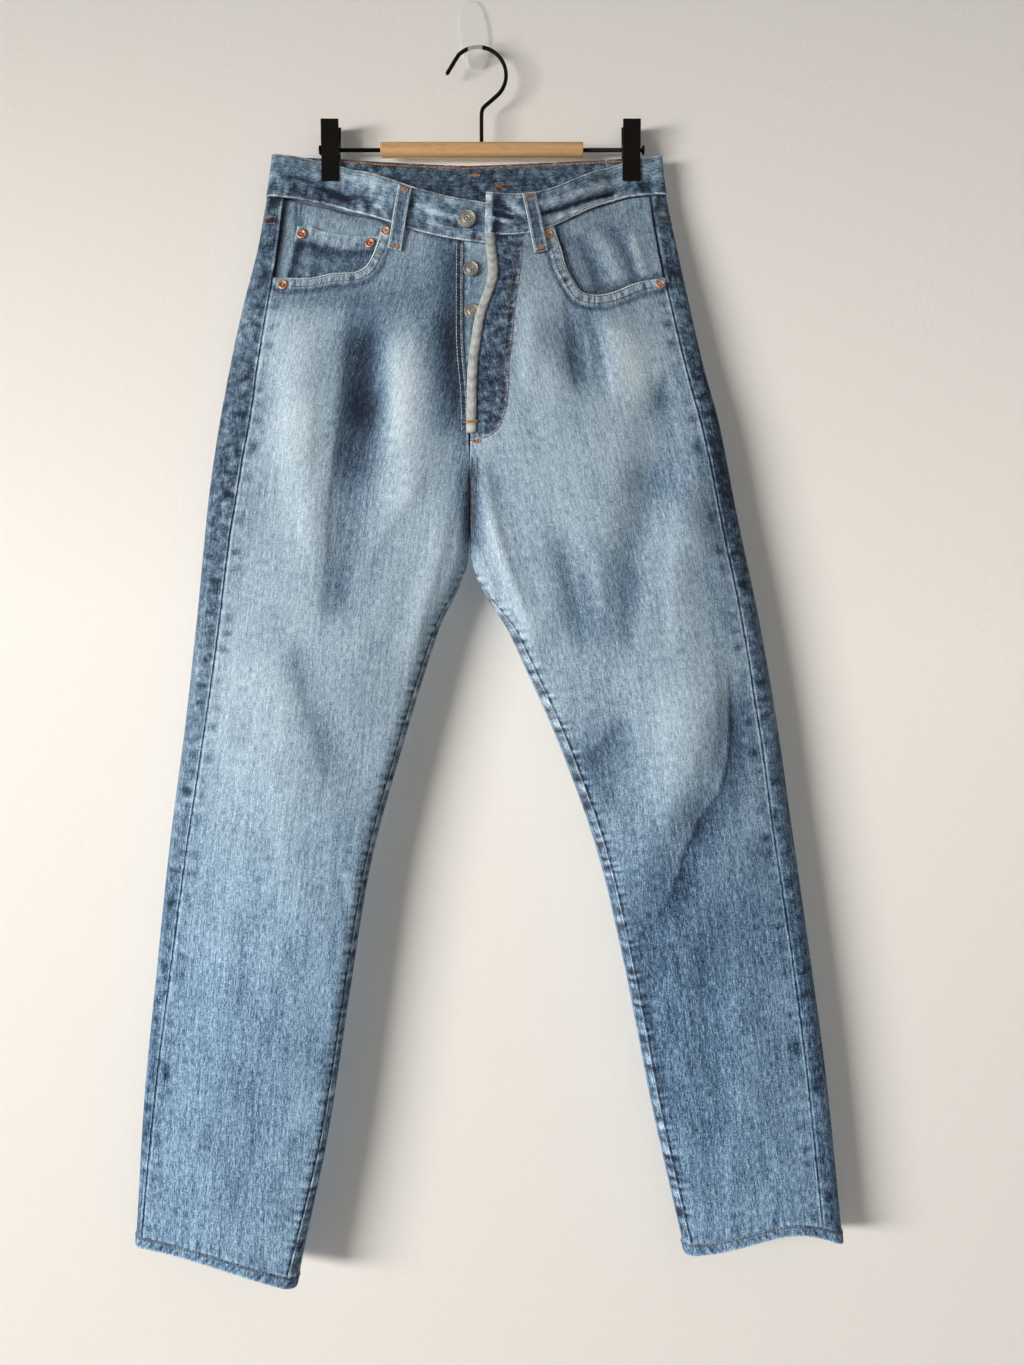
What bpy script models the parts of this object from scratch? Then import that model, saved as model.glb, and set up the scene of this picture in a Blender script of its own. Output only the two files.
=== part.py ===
"""Straight leg jeans hanging from a clip hanger on a clear wall hook.

The wall is the plane y = 0 and the garment's front faces -y.  Sizes below are in millimetres:
x is to the viewer's right, d is the distance out from the wall (y = -d) and z is up.  Right and
left are the wearer's, so the right leg is at -x.  The origin is the centre of the hook's back face.

Each leg, with its half of the hips and waistband, is one closed form.  A place on it is given by
how far down from the waist seam it is, and by s, the way along the cloth from the leg's outer
edge: positive across the front, negative across the back.
"""

import math

import bmesh
import bpy
import numpy as np
from mathutils import Vector

MM = 0.001

# Cloth, in millimetres.
DENIM = 1.4
SEAM_GAP = 0.3
OVERLAY_GAP = 0.5
BAND_PROUD = 0.7
BAND_THICK = 2.4
HEM_PROUD = 0.8
HEM_THICK = 3.2
HEM_HEIGHT = 10.5
YOKE_SIDE = 16.0
YOKE_CENTRE = 80.0
YOKE_FADE = 188.0
CROTCH_DOWN = 300.0
LOOP_THICK = 1.6
COIN_DEPTH = 2.2
FACING_DEPTH = {"right": 4.1, "left": 2.3}
FACING_START = 0.6
FACING_PAST_MOUTH = 12.0
FACING_SECOND_ROW = 30.0
FACING_ROWS = (50.0, 60.0, 70.0, 79.0)
FACING_BOTTOM = 87.0
BACK_POCKET_TOP = 104.0
BACK_POCKET_WIDTH = 146.0
BACK_POCKET_HEIGHT = 164.0
BACK_POCKET_POINT = 20.0

# Hanger and wall hook, in millimetres.
HANGER_D = 15.0
WIRE_RADIUS = 1.8
HOOK_RADIUS = 26.4
HOOK_CENTRE = (4.3, -46.4)
STEM_X = 7.6
ROD_Z = -117.0
ROD_RADIUS = 1.85
ROD_ENDS = (-145.3, 160.9)
END_STOP_RADIUS = 4.2
END_STOP_THICK = 2.4
DOWEL_RADIUS = 7.0
DOWEL_ENDS = (-87.0, 103.0)
CLIP_X = {"right": -134.1, "left": 148.3}
CLIP_WIDTH = 16.6
CLIP_TOP = -91.8
CLIP_BOTTOM = -147.7
PLATE_SIZE = (28.2, 67.0, 2.6)
PLATE_TILT = math.radians(6.5)
ARM_X = (-5.1, 8.5)
JAW_THICK = 1.8
EAR_THICK = 1.2
SPRING_RADIUS = 3.6
HOOK_TIP = (-25.3, -45.8)
HOOK_ARC = (134.0, -43.0)
HOOK_ARC_STEPS = 18
HOOK_SHANK = ((15.2, -71.8), (11.0, -75.4), (8.8, -78.0), (7.8, -81.5), (STEM_X, -86.0))
PLATE_SIDES = 36
PLATE_ROUNDNESS = 0.86

# Button and rivet sizes, in millimetres.
WAIST_BUTTON = 17.0
FLY_BUTTON = 14.4
RIVET = 9.4
WAIST_BUTTON_AT = (-4.9, -192.9)
FLY_BUTTONS_AT = ((-1.2, -239.6), (-0.3, -278.9))

# Sections of the turned fastenings, as (radius, height) shares of their radius.
BUTTON_PROFILE = ((0.45, 0.0), (0.92, 0.12), (1.0, 0.26), (0.93, 0.38), (0.62, 0.34), (0.3, 0.4))
RIVET_PROFILE = ((0.8, 0.0), (1.0, 0.1), (0.92, 0.24), (0.4, 0.16), (0.28, 0.36))

# Inner faces of the clip jaws, as (distance from the rod's plane, z).
JAW_INNER = {
    "front": ((2.9, CLIP_BOTTOM), (2.9, -128.0), (4.5, ROD_Z), (7.0, CLIP_TOP)),
    "back": ((2.9, CLIP_BOTTOM), (2.9, -128.0), (4.5, ROD_Z), (6.5, CLIP_TOP)),
}

# Where the cloth of the two sides is pinched between the clip jaws.
PINCH_FRONT_D = 16.9
PINCH_BACK_D = 13.1
PINCH_REACH = 26.0
PINCH_DOWN = (-10.0, 12.0)

# The edges of each half at each level: the outer edge, the inner end of the front layer (the
# centre front, or the inner edge of the leg) and the inner end of the back layer.
EDGE_COLUMNS = "down out_x out_d out_z in_x in_d in_z back_x back_d back_z"
EDGES = {
    "right": {
        "band_top": (-37, -188.5, 16, -122.8, 17.9, 37, -177.8, -7.2, 10, -130.2),
        "waist": (0, -194.1, 16, -162.3, 17.9, 39, -215.4, -7.2, 10, -166.1),
        "hip_top": (46, -202.1, 18, -212.1, 19.8, 41, -256.6, -7.2, 11, -211.0),
        "hip": (97, -214.4, 21, -264.8, 18.0, 42, -306.4, -7.2, 11, -264.0),
        "seat": (155, -227.0, 23, -326.2, 12.5, 42, -356.7, -6.2, 11, -324.5),
        "fly_end": (204, -235.8, 25, -378.1, 3.4, 42, -397.9, -5.3, 11, -379.3),
        "recess": (242, -242.0, 26, -420.2, -2.4, 42, -432.7, -4.3, 12, -422.0),
        "gusset": (271, -245.7, 26, -450.0, -2.9, 35, -460.8, -4.1, 17, -457.8),
        "crotch": (300, -248.5, 26, -477.9, -3.8, 28, -493.1, -3.8, 28, -493.1),
        "thigh": (384, -255.9, 26, -555.2, -32.3, 30, -571.2, -32.3, 30, -571.2),
        "over_knee": (490, -267.4, 25, -657.6, -64.4, 33, -675.7, -64.4, 33, -675.7),
        "knee": (596, -281.7, 24, -764.9, -94.5, 36, -788.8, -94.5, 36, -788.8),
        "calf": (715, -295.1, 23, -891.1, -114.6, 37, -914.7, -114.6, 37, -914.7),
        "shin": (835, -306.7, 22, -1008.2, -131.7, 39, -1028.8, -131.7, 39, -1028.8),
        "hem": (977, -314.6, 21, -1139.6, -160.7, 41, -1169.0, -160.7, 41, -1169.0),
    },
    "left": {
        "band_top": (-37, 176.4, 16, -123.8, 12.6, 45, -170.6, -7.2, 10, -130.2),
        "waist": (0, 181.1, 16, -160.5, 11.7, 46, -209.3, -7.2, 10, -166.1),
        "hip_top": (46, 191.2, 18, -212.1, 14.5, 49, -245.1, -7.2, 11, -211.0),
        "hip": (97, 201.9, 21, -264.8, 1.8, 50, -290.9, -7.2, 11, -264.0),
        "seat": (155, 215.6, 23, -326.2, -4.6, 49.5, -347.0, -6.2, 11, -324.5),
        "fly_end": (204, 229.2, 25, -378.1, -5.1, 47, -395.4, -5.3, 11, -379.3),
        "recess": (242, 237.3, 26, -420.2, -1.8, 42.3, -432.7, -4.3, 12, -422.0),
        "gusset": (271, 242.9, 26, -450.0, -2.1, 35, -460.8, -4.1, 17, -457.8),
        "crotch": (300, 248.5, 26, -477.9, -2.7, 28, -494.0, -2.7, 28, -494.0),
        "thigh": (384, 264.3, 26, -552.4, 36.3, 26, -578.4, 36.3, 26, -578.4),
        "over_knee": (490, 282.0, 26, -652.9, 82.0, 25, -680.9, 82.0, 25, -680.9),
        "knee": (596, 295.7, 27, -750.5, 116.4, 25, -778.7, 116.4, 25, -778.7),
        "calf": (715, 311.2, 28, -861.8, 141.6, 25, -885.9, 141.6, 25, -885.9),
        "shin": (835, 327.6, 29, -986.8, 164.9, 25, -1005.1, 164.9, 25, -1005.1),
        "hem": (977, 342.2, 30, -1134.7, 196.6, 25, -1146.7, 196.6, 25, -1146.7),
    },
}

# The fullness at the same levels: radius of the outer and inner folds, belly of the front and
# back layers, lift and sway of the front's level line, how far the side seam has rolled round to
# the front, and how far the front panel stops short of its inner end.
SHAPE_COLUMNS = "out_r in_r front back lift sway seam inset"
SHAPE = {
    "right": {
        "band_top": (3.6, 0, 0, 0, 2.5, 4.5, 18, 26),
        "waist": (4, 0, 0, 0, 1.5, 5, 19, 26),
        "hip_top": (6, 0, 2, 1, 1, 2, 23, 28),
        "hip": (8, 0, 4, 2, 0, 1, 29, 26),
        "seat": (10, 0, 5, 2, 0, 0, 34, 16.5),
        "fly_end": (11, 0, 6, 3, 0, 0, 37, 6.4),
        "recess": (12, 3, 7, 3, 0, 0, 37, 0),
        "gusset": (12, 7, 9, 4, 0, 0, 36, 0),
        "crotch": (13, 13, 12, 5, 0, 0, 35, 0),
        "thigh": (14, 14, 13, 5, 0, 0, 34, 9),
        "over_knee": (14, 14, 12, 5, 0, 0, 31, 10),
        "knee": (13, 14, 12, 5, 0, 0, 28, 10),
        "calf": (13, 13, 10, 5, 0, 0, 24, 10),
        "shin": (12, 12, 8, 4, 0, 0, 20, 11),
        "hem": (11, 11, 7, 4, 6, 0, 14, 15),
    },
    "left": {
        "band_top": (3.6, 0, 0, 0, -5, 7, 15, 0),
        "waist": (4, 0, 0, 0, -1, 8.5, 17, 3.4),
        "hip_top": (6, 0, 2, 1, -1, 4, 21, 3.4),
        "hip": (8, 0, 4, 2, 0, 1, 23, 3.4),
        "seat": (10, 0, 5, 2, 0, 0, 24, 3.4),
        "fly_end": (11, 0, 6, 3, 0, 0, 25, 3.4),
        "recess": (12, 3, 7, 3, 0, 0, 25, 0),
        "gusset": (12, 7, 9, 4, 0, 0, 25, 0),
        "crotch": (13, 13, 12, 5, 0, 0, 26, 0),
        "thigh": (14, 14, 13, 5, 0, 0, 27, 15),
        "over_knee": (14, 14, 12, 5, 0, 0, 28, 16),
        "knee": (13, 14, 12, 5, 0, 0, 28, 16),
        "calf": (13, 13, 10, 5, 0, 0, 27, 15),
        "shin": (12, 12, 9, 4, 0, 0, 27, 14),
        "hem": (11, 11, 7, 4, 14, 5, 27, 13),
    },
}

# Soft folds in the front: a trough (negative) or ridge along the line from (x0, z0) to (x1, z1).
FOLDS = (
    ("right", -168, -288, -166, -406, 20, 4.0),
    ("right", -99, -308, -98, -368, 16, -5.0),
    ("right", -98, -368, -111, -536, 20, -4.0),
    ("right", -60, -309, -55, -447, 20, 3.0),
    ("right", -149, -602, -117, -700, 24, -3.0),
    ("left", 82, -299, 107, -334, 16, -4.0),
    ("left", 131, -299, 131, -339, 18, 3.0),
    ("left", 173, -358, 162, -433, 20, -5.0),
    ("left", 162, -433, 135, -536, 22, -4.0),
    ("left", 198, -427, 203, -486, 18, 3.0),
    ("left", 92, -503, 99, -556, 18, -3.0),
    ("left", 21, -477, 54, -562, 16, 3.5),
    ("left", 185, -634, 176, -716, 34, 5.0),
    ("left", 240, -642, 206, -738, 18, -4.0),
    ("left", 206, -738, 164, -834, 18, -4.0),
)

# Levels, in millimetres down from the waist seam, at which the panels have a row of points.
BAND_ROWS = (-37, -26, -12)
PANEL_ROWS = (0, 16, 38, 65, 97, 126, 155, 180, 204, 223, 242, 256, 271, 285, 300, 320, 345,
              384, 437, 490, 543, 596, 655, 715, 775, 835, 900)
HEM_TOP = 977.0 - HEM_HEIGHT

# Openings of the front pockets, as (x, z) from the waist end to the side seam.
POCKET_MOUTH = {
    "right": ((-86.7, -204.5), (-88.0, -211.2), (-92.3, -223.5), (-98.7, -234.3),
              (-108.0, -239.3), (-130.2, -240.2), (-151.5, -243.9), (-174.1, -243.9)),
    "left": ((75.9, -203.1), (80.0, -216.9), (85.7, -238.1), (94.3, -253.8),
             (101.2, -261.5), (115.5, -263.0), (129.3, -259.3), (150.5, -249.5), (170.3, -243.6)),
}

# Mouth of the coin pocket, as (x, z) from the side seam inward.
COIN_POCKET_MOUTH = ((-164.5, -190.8), (-151.8, -191.4), (-138.9, -196.6), (-111.1, -202.0),
                     (-84.0, -204.0))

# Section through the fly facing: (distance in from the fly's edge, height over the front), from
# the stitched side behind the front, round its edge, to the lip that lies on it.
FLY_ROWS = (0.6, 16.0, 38.0, 65.0, 97.0, 126.0, 155.0, 178.0, 192.0, 200.0)
PLACKET_ROWS = (0.6, 16.0, 38.0, 65.0, 97.0, 126.0, 155.0, 180.0, 196.0)
FLY_ROUND_START = 165.0
FLY_ROUND_LENGTH = 40.0
ROLL_WIDTH = 9.2
FLY_ROLL = ((37.0, -2.6), (25.0, -2.6), (14.0, -2.6), (7.0, -2.6), (2.6, -2.3), (0.9, -0.9),
            (0.9, 1.0), (2.6, 2.2), (6.0, 2.2), (9.2, 1.4))

# Belt loops: (name, side, layer, top middle x z, bottom middle x z).
LOOP_WIDTH = 12.0
LOOP_STAND_OFF = (0.9, 1.9, 2.4, 2.5, 2.4, 2.0, 1.5)
LOOPS = (
    ("belt_loop_front_right", "right", "front", (-62.0, -160.5), (-71.6, -219.8)),
    ("belt_loop_front_left", "left", "front", (51.2, -171.5), (62.6, -226.2)),
    ("belt_loop_back_right", "right", "back", (-102.0, -129.0), (-104.0, -187.0)),
    ("belt_loop_back_centre", "right", "back", (-15.5, -131.5), (-15.5, -191.0)),
    ("belt_loop_back_left", "left", "back", (90.0, -129.0), (92.0, -187.0)),
)

# Rivets: (name, side, x, z, height over the panel).
RIVETS = (
    ("rivet_coin_outer", "right", -159.9, -199.6, -1.2),
    ("rivet_coin_inner", "right", -95.5, -210.6, -1.2),
    ("rivet_mouth_right_inner", "right", -80.6, -200.4, 0.5),
    ("rivet_mouth_right_outer", "right", -175.6, -249.9, 1.0),
    ("rivet_mouth_left_inner", "left", 69.8, -206.6, 0.5),
    ("rivet_mouth_left_outer", "left", 173.6, -248.6, 0.5),
)

# Colours (linear), roughness and metallic value of each material.
MATERIALS = {
    "denim_light": ((0.33, 0.45, 0.60), 0.9, 0.0),
    "denim_mid": ((0.20, 0.31, 0.47), 0.9, 0.0),
    "fly_edge": ((0.60, 0.66, 0.70), 0.9, 0.0),
    "grey_metal": ((0.55, 0.54, 0.52), 0.4, 1.0),
    "copper": ((0.80, 0.42, 0.26), 0.35, 1.0),
    "black_metal": ((0.02, 0.018, 0.017), 0.5, 0.3),
    "beech": ((0.66, 0.45, 0.27), 0.6, 0.0),
    "clear_plastic": ((0.85, 0.87, 0.87), 0.1, 0.0),
}


def clear_scene():
    """Remove every object, so that the model starts from nothing."""
    for old in list(bpy.data.objects):
        bpy.data.objects.remove(old, do_unlink=True)


def material(name):
    """The named Principled material, made on its first use."""
    found = bpy.data.materials.get(name)
    if found:
        return found
    colour, roughness, metallic = MATERIALS[name]
    made = bpy.data.materials.new(name)
    made.use_nodes = True
    shader = made.node_tree.nodes["Principled BSDF"]
    shader.inputs["Base Color"].default_value = (*colour, 1.0)
    shader.inputs["Roughness"].default_value = roughness
    shader.inputs["Metallic"].default_value = metallic
    if name == "clear_plastic":
        shader.inputs["Transmission Weight"].default_value = 0.9
    return made


def smooth(u):
    """Smooth step from 0 to 1."""
    u = np.clip(u, 0.0, 1.0)
    return u * u * (3.0 - 2.0 * u)


def hermite(at, knots, values):
    """Smooth curve through (knots, values) that never overshoots them."""
    at = np.asarray(at, float)
    rates = np.diff(values) / np.diff(knots)
    before, after = rates[:-1], rates[1:]
    same_way = before * after > 0
    middle = np.where(same_way, 2 * before * after / np.where(same_way, before + after, 1), 0)
    slopes = np.concatenate([rates[:1], middle, rates[-1:]])
    i = np.clip(np.searchsorted(knots, at, side="right") - 1, 0, len(knots) - 2)
    span = knots[i + 1] - knots[i]
    t = (at - knots[i]) / span
    t2 = t * t
    t3 = t2 * t
    return ((2 * t3 - 3 * t2 + 1) * values[i] + (t3 - 2 * t2 + t) * span * slopes[i]
            + (3 * t2 - 2 * t3) * values[i + 1] + (t3 - t2) * span * slopes[i + 1])


class Half:
    """One leg with its half of the hips and waistband, as a form to take points from."""

    def __init__(self, side):
        self.side = side
        self.sign = 1.0 if side == "left" else -1.0
        edges = np.array(list(EDGES[side].values()), float)
        shape = np.array(list(SHAPE[side].values()), float)
        self.knots = edges[:, 0]
        self.columns = dict(zip(EDGE_COLUMNS.split(), edges.T))
        self.columns.update(zip(SHAPE_COLUMNS.split(), shape.T))

    def value(self, name, down):
        """The named column at a level."""
        return hermite(down, self.knots, self.columns[name])

    def length(self, down, layer="front"):
        """Way along the cloth from the outer edge to the layer's inner end."""
        inner = "in_x" if layer == "front" else "back_x"
        width = np.abs(self.value(inner, down) - self.value("out_x", down))
        return width + (math.pi / 2 - 1) * (self.value("out_r", down) + self.value("in_r", down))

    def point(self, down, s):
        """Points (x, y, z), in millimetres, on the outside of the cloth."""
        down, s = np.broadcast_arrays(np.asarray(down, float), np.asarray(s, float))
        front_length = self.length(down)
        back_length = self.length(down, "back")
        around = np.where(self.value("in_r", down) > 10.0, front_length + back_length, 0.0)
        s = np.where(s < -back_length, s + around, s)
        s = np.where(s > front_length, s - around, s)
        front = s >= 0
        run = np.abs(s)
        total = np.where(front, front_length, back_length)
        inner_x = np.where(front, self.value("in_x", down), self.value("back_x", down))
        inner_d = np.where(front, self.value("in_d", down), self.value("back_d", down))
        inner_z = np.where(front, self.value("in_z", down), self.value("back_z", down))
        belly = np.where(front, self.value("front", down), -self.value("back", down))
        out_x = self.value("out_x", down)
        out_r = self.value("out_r", down)
        in_r = self.value("in_r", down)
        width = np.abs(inner_x - out_x)

        outer_turn = np.clip(run / out_r, 0.0, math.pi / 2)
        past_end = np.where(in_r > 2.0, -0.5, 0.0)
        inner_turn = np.clip((total - run) / np.maximum(in_r, 0.01), past_end, math.pi / 2)
        flat = width - out_r - in_r
        along = np.clip(run - out_r * math.pi / 2, 0.0, flat)
        across = out_r * (1 - np.cos(outer_turn)) + along
        across = across + in_r * np.cos(inner_turn)
        across = np.where((run > total) & (in_r <= 2.0), width + run - total, across)
        rise = (out_r + (in_r - out_r) * smooth(along / flat)) * np.sin(outer_turn) * np.sin(inner_turn)

        u = across / width
        z = self.value("out_z", down) * (1 - u) + inner_z * u
        wave = self.value("lift", down) * np.sin(math.pi * u)
        wave = wave + self.value("sway", down) * np.sin(2 * math.pi * u)
        z = z + np.where(front, wave, 0.0)
        x = out_x - self.sign * across
        d = self.value("out_d", down) * (1 - smooth(u)) + inner_d * smooth(u)
        d = d + np.where(front, rise, -rise) + belly * np.sin(math.pi * np.clip(u, 0, 1))
        d = self.pinch(d, x, down, front)
        d = d + np.where(front, self.folds(x, z) * np.sin(outer_turn) * np.sin(inner_turn), 0.0)
        return np.stack([x, -d, z], axis=-1)

    def pinch(self, d, x, down, front):
        """Bring both layers together between the clip's jaws."""
        reach = np.exp(-((x - CLIP_X[self.side]) / PINCH_REACH) ** 2)
        start, end = PINCH_DOWN
        weight = np.clip(1.7 * reach, 0, 1) * (1 - smooth((down - start) / (end - start)))
        return d + weight * (np.where(front, PINCH_FRONT_D, PINCH_BACK_D) - d)

    def folds(self, x, z):
        """Depth of all the soft folds at (x, z)."""
        total = np.zeros_like(x)
        for side, x0, z0, x1, z1, width, depth in FOLDS:
            if side != self.side:
                continue
            run = np.array([x1 - x0, z1 - z0], float)
            t = np.clip(((x - x0) * run[0] + (z - z0) * run[1]) / (run @ run), 0, 1)
            away = np.hypot(x - x0 - t * run[0], z - z0 - t * run[1])
            total = total + depth * np.exp(-(away / width) ** 2)
        return total

    def normal(self, down, s, step=0.6):
        """Outward unit normals."""
        along = self.point(down, s + step) - self.point(down, s - step)
        below = self.point(down + step, s) - self.point(down - step, s)
        normal = np.cross(along, below) * self.sign
        return normal / np.linalg.norm(normal, axis=-1, keepdims=True)

    def locate(self, x, z, layer="front"):
        """Level and s of the point of a layer at (x, z), by Newton's method."""
        down = np.array(-z - 165.0)
        width = self.length(down, layer)
        s = np.clip(abs(self.value("out_x", down) - x), 5.0, width - 2.0)
        s = s if layer == "front" else -s
        for _ in range(20):
            here = self.point(down, s)
            by_down = self.point(down + 0.5, s) - here
            by_s = self.point(down, s + 0.5) - here
            grid = np.array([[by_down[0], by_s[0]], [by_down[2], by_s[2]]]) * 2.0
            step = np.linalg.solve(grid, [x - here[0], z - here[2]])
            down = down + np.clip(step[0], -20, 20)
            s = s + np.clip(step[1], -20, 20)
        return down, s


HALVES = {side: Half(side) for side in ("right", "left")}


def add_mesh(name, vertices, faces, material_name):
    """New object from vertices in millimetres, with its faces turned outward."""
    mesh = bpy.data.meshes.new(name)
    mesh.from_pydata([Vector(v) * MM for v in vertices], [], faces)
    work = bmesh.new()
    work.from_mesh(mesh)
    bmesh.ops.recalc_face_normals(work, faces=work.faces)
    work.to_mesh(mesh)
    work.free()
    mesh.shade_smooth()
    mesh.set_sharp_from_angle(angle=math.radians(40))
    mesh.materials.append(material(material_name))
    made = bpy.data.objects.new(name, mesh)
    bpy.context.collection.objects.link(made)
    return made


def wall(name, points, normals, outside, inside, material_name, ring=False):
    """Closed wall between two offsets of a grid of points (rows, columns, 3)."""
    rows, columns = points.shape[:2]
    outer = (points + normals * outside).reshape(-1, 3)
    inner = (points + normals * inside).reshape(-1, 3)
    half = rows * columns
    faces = []
    last = columns if ring else columns - 1

    def quad(a, b, c, d):
        faces.append((a, b, c))
        faces.append((a, c, d))

    for row in range(rows - 1):
        for column in range(last):
            after = (column + 1) % columns
            a, b = row * columns + column, row * columns + after
            c, d = b + columns, a + columns
            quad(a, b, c, d)
            quad(a + half, d + half, c + half, b + half)
    for row, turn in ((0, 1), (rows - 1, -1)):
        for column in range(last):
            a, b = row * columns + column, row * columns + (column + 1) % columns
            quad(*((a + half, b + half, b, a)[::turn]))
    if not ring:
        for column, turn in ((0, -1), (columns - 1, 1)):
            for row in range(rows - 1):
                a, b = row * columns + column, (row + 1) * columns + column
                quad(*((a + half, b + half, b, a)[::turn]))
    return add_mesh(name, np.vstack([outer, inner]), faces, material_name)


def trimmed(points):
    """The grid with its first and last columns drawn in by half a seam gap."""
    points = points.copy()
    for end, inward in ((0, 1), (-1, -2)):
        step = points[:, inward] - points[:, end]
        length = np.linalg.norm(step, axis=-1, keepdims=True)
        points[:, end] += step / length * SEAM_GAP / 2
    return points


def clustered(count, amount=0.5):
    """Numbers from 0 to 1 that lie closer together at both ends."""
    t = np.linspace(0, 1, count)
    return (1 - amount) * t + amount * (1 - np.cos(math.pi * t)) / 2


def grid(half, downs, start, end, columns):
    """Grid of levels and of s from start(down) to end(down)."""
    downs = np.asarray(downs, float)
    share = clustered(columns)
    s = start(downs)[:, None] * (1 - share) + end(downs)[:, None] * share
    return np.broadcast_to(downs[:, None], s.shape), s


def panel(name, half, down, s, outside=0.0, thick=DENIM, material_name="denim_light", trim=True):
    """Cloth panel on the form, from a grid of levels and of s."""
    points = half.point(down, s)
    if trim:
        points = trimmed(points)
    return wall(name, points, half.normal(down, s), outside, outside - thick, material_name)


def cut(target, outline, depth_range):
    """Cut the target with a prism whose (x, z) outline runs from one depth to another."""
    count = len(outline)
    near = [(x, -depth_range[0], z) for x, z in outline]
    far = [(x, -depth_range[1], z) for x, z in outline]
    faces = [tuple(range(count)), tuple(range(2 * count - 1, count - 1, -1))]
    for i in range(count):
        j = (i + 1) % count
        faces.append((i, i + count, j + count, j))
    cutter = add_mesh(target.name + "_cutter", near + far, faces, "denim_light")
    cutter.hide_render = True
    cutter.display_type = "WIRE"
    boolean = target.modifiers.new("cut", "BOOLEAN")
    boolean.operation = "DIFFERENCE"
    boolean.solver = "EXACT"
    boolean.object = cutter


def yoke_line(half, share):
    """Level of the yoke seam, where share of the way from the side seam to the centre back."""
    seam = half.value("seam", 8.0)
    length = half.length(60.0, "back")
    back_share = np.clip((share * (seam + length) - seam) / length, 0, 1)
    return YOKE_SIDE + (YOKE_CENTRE - YOKE_SIDE) * back_share


def back_s(half, down, share):
    """The s of points that share the way from the side seam to the back's inner end."""
    wrapped = half.value("inset", down) * (down > CROTCH_DOWN)
    end = -half.length(down, "back") - wrapped
    return half.value("seam", down) * (1 - share) + end * share


def front_panel(half):
    """Front of a leg, from the side seam to the fly or the inseam."""
    downs = [SEAM_GAP / 2, *PANEL_ROWS[1:], HEM_TOP - SEAM_GAP / 2]
    down, s = grid(half, downs, lambda d: half.value("seam", d),
                   lambda d: half.length(d) - half.value("inset", d), 13)
    made = panel("front_" + half.side, half, down, s)
    mouth = POCKET_MOUTH[half.side]
    beyond = CLIP_X[half.side] * 2
    top = -140.0
    outline = list(mouth) + [(beyond, mouth[-1][1]), (beyond, top), (mouth[0][0], top)]
    cut(made, outline, (10.0, 90.0))


def back_panel(half):
    """Back of a leg below the yoke, round to the side seam and inseam at the front."""
    rows = np.array([*PANEL_ROWS[1:], HEM_TOP - SEAM_GAP / 2], float)[:, None]
    share = clustered(14)
    drop = yoke_line(half, share) - YOKE_SIDE
    down = rows + drop * (1 - smooth((rows - YOKE_SIDE) / YOKE_FADE))
    down[0] += SEAM_GAP / 2
    panel("back_" + half.side, half, down, back_s(half, down, share))


def yoke(half):
    """Yoke between the waistband and the back panel."""
    share = clustered(14)
    step = np.array([0.0, 0.5, 1.0])[:, None]
    down = SEAM_GAP / 2 + (yoke_line(half, share) - SEAM_GAP) * step
    panel("yoke_" + half.side, half, down, back_s(half, down, share))


def facing_grid(half):
    """Levels and s of a pocket facing; on the right its second row follows the coin pocket."""
    mouth = COIN_POCKET_MOUTH if half.side == "right" else POCKET_MOUTH["left"][-1:0:-2]
    levels, across = np.array([half.locate(x, z) for x, z in mouth]).T
    if half.side == "left":
        levels = np.full(len(across), FACING_SECOND_ROW)
    start = half.value("seam", FACING_SECOND_ROW) + FACING_START
    s = np.concatenate([[start], across, [across[-1] + FACING_PAST_MOUTH]])
    second_row = np.concatenate([levels[:1], levels, levels[-1:]])
    rows = [np.full(len(s), SEAM_GAP), second_row]
    rows += [np.full(len(s), row) for row in (*FACING_ROWS, FACING_BOTTOM)]
    down = np.array(rows)
    s = np.broadcast_to(s, down.shape).copy()
    s[:, 0] = half.value("seam", down[:, 0]) + FACING_START
    return down, s


def pocket_facing(half):
    """Denim behind the front pocket's mouth, from the waistband and side seam inward."""
    down, s = facing_grid(half)
    panel("pocket_facing_" + half.side, half, down, s, outside=-FACING_DEPTH[half.side],
          material_name="denim_mid", trim=False)


def coin_pocket(half):
    """Small pocket on the right facing, made from the facing's own points."""
    down, s = facing_grid(half)
    panel("coin_pocket", half, down[1:-1, 1:-1], s[1:-1, 1:-1], outside=-COIN_DEPTH, trim=False)


def fly_facing(half):
    """Buttonhole side of the fly: a strip behind the front whose edge rolls out over it."""
    rows = np.array(FLY_ROWS)
    across = np.array([away for away, _ in FLY_ROLL])
    height = np.array([out for _, out in FLY_ROLL])
    down = np.broadcast_to(rows[:, None], (len(rows), len(across)))
    rounded = np.clip((rows - FLY_ROUND_START) / FLY_ROUND_LENGTH, 0, 1)
    narrow = np.sqrt(1 - rounded ** 2)[:, None]
    away = np.where(across > ROLL_WIDTH, ROLL_WIDTH + (across - ROLL_WIDTH) * narrow, across)
    s = half.length(down) - away
    points = half.point(down, s) + half.normal(down, s) * height[None, :, None]
    along = np.gradient(points, axis=1)
    below = np.gradient(points, axis=0)
    normals = np.cross(below, along)
    normals /= np.linalg.norm(normals, axis=-1, keepdims=True)
    wall("fly_facing", points, normals, DENIM / 2, -DENIM / 2, "fly_edge")


def fly_button_placket(half):
    """Button side of the fly, running on past the front panel's edge under the other front."""
    down, s = grid(half, PLACKET_ROWS,
                   lambda d: half.length(d) - half.value("inset", d) + SEAM_GAP,
                   lambda d: half.length(d), 4)
    panel("fly_button_placket", half, down, s, outside=-0.2, trim=False)


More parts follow.
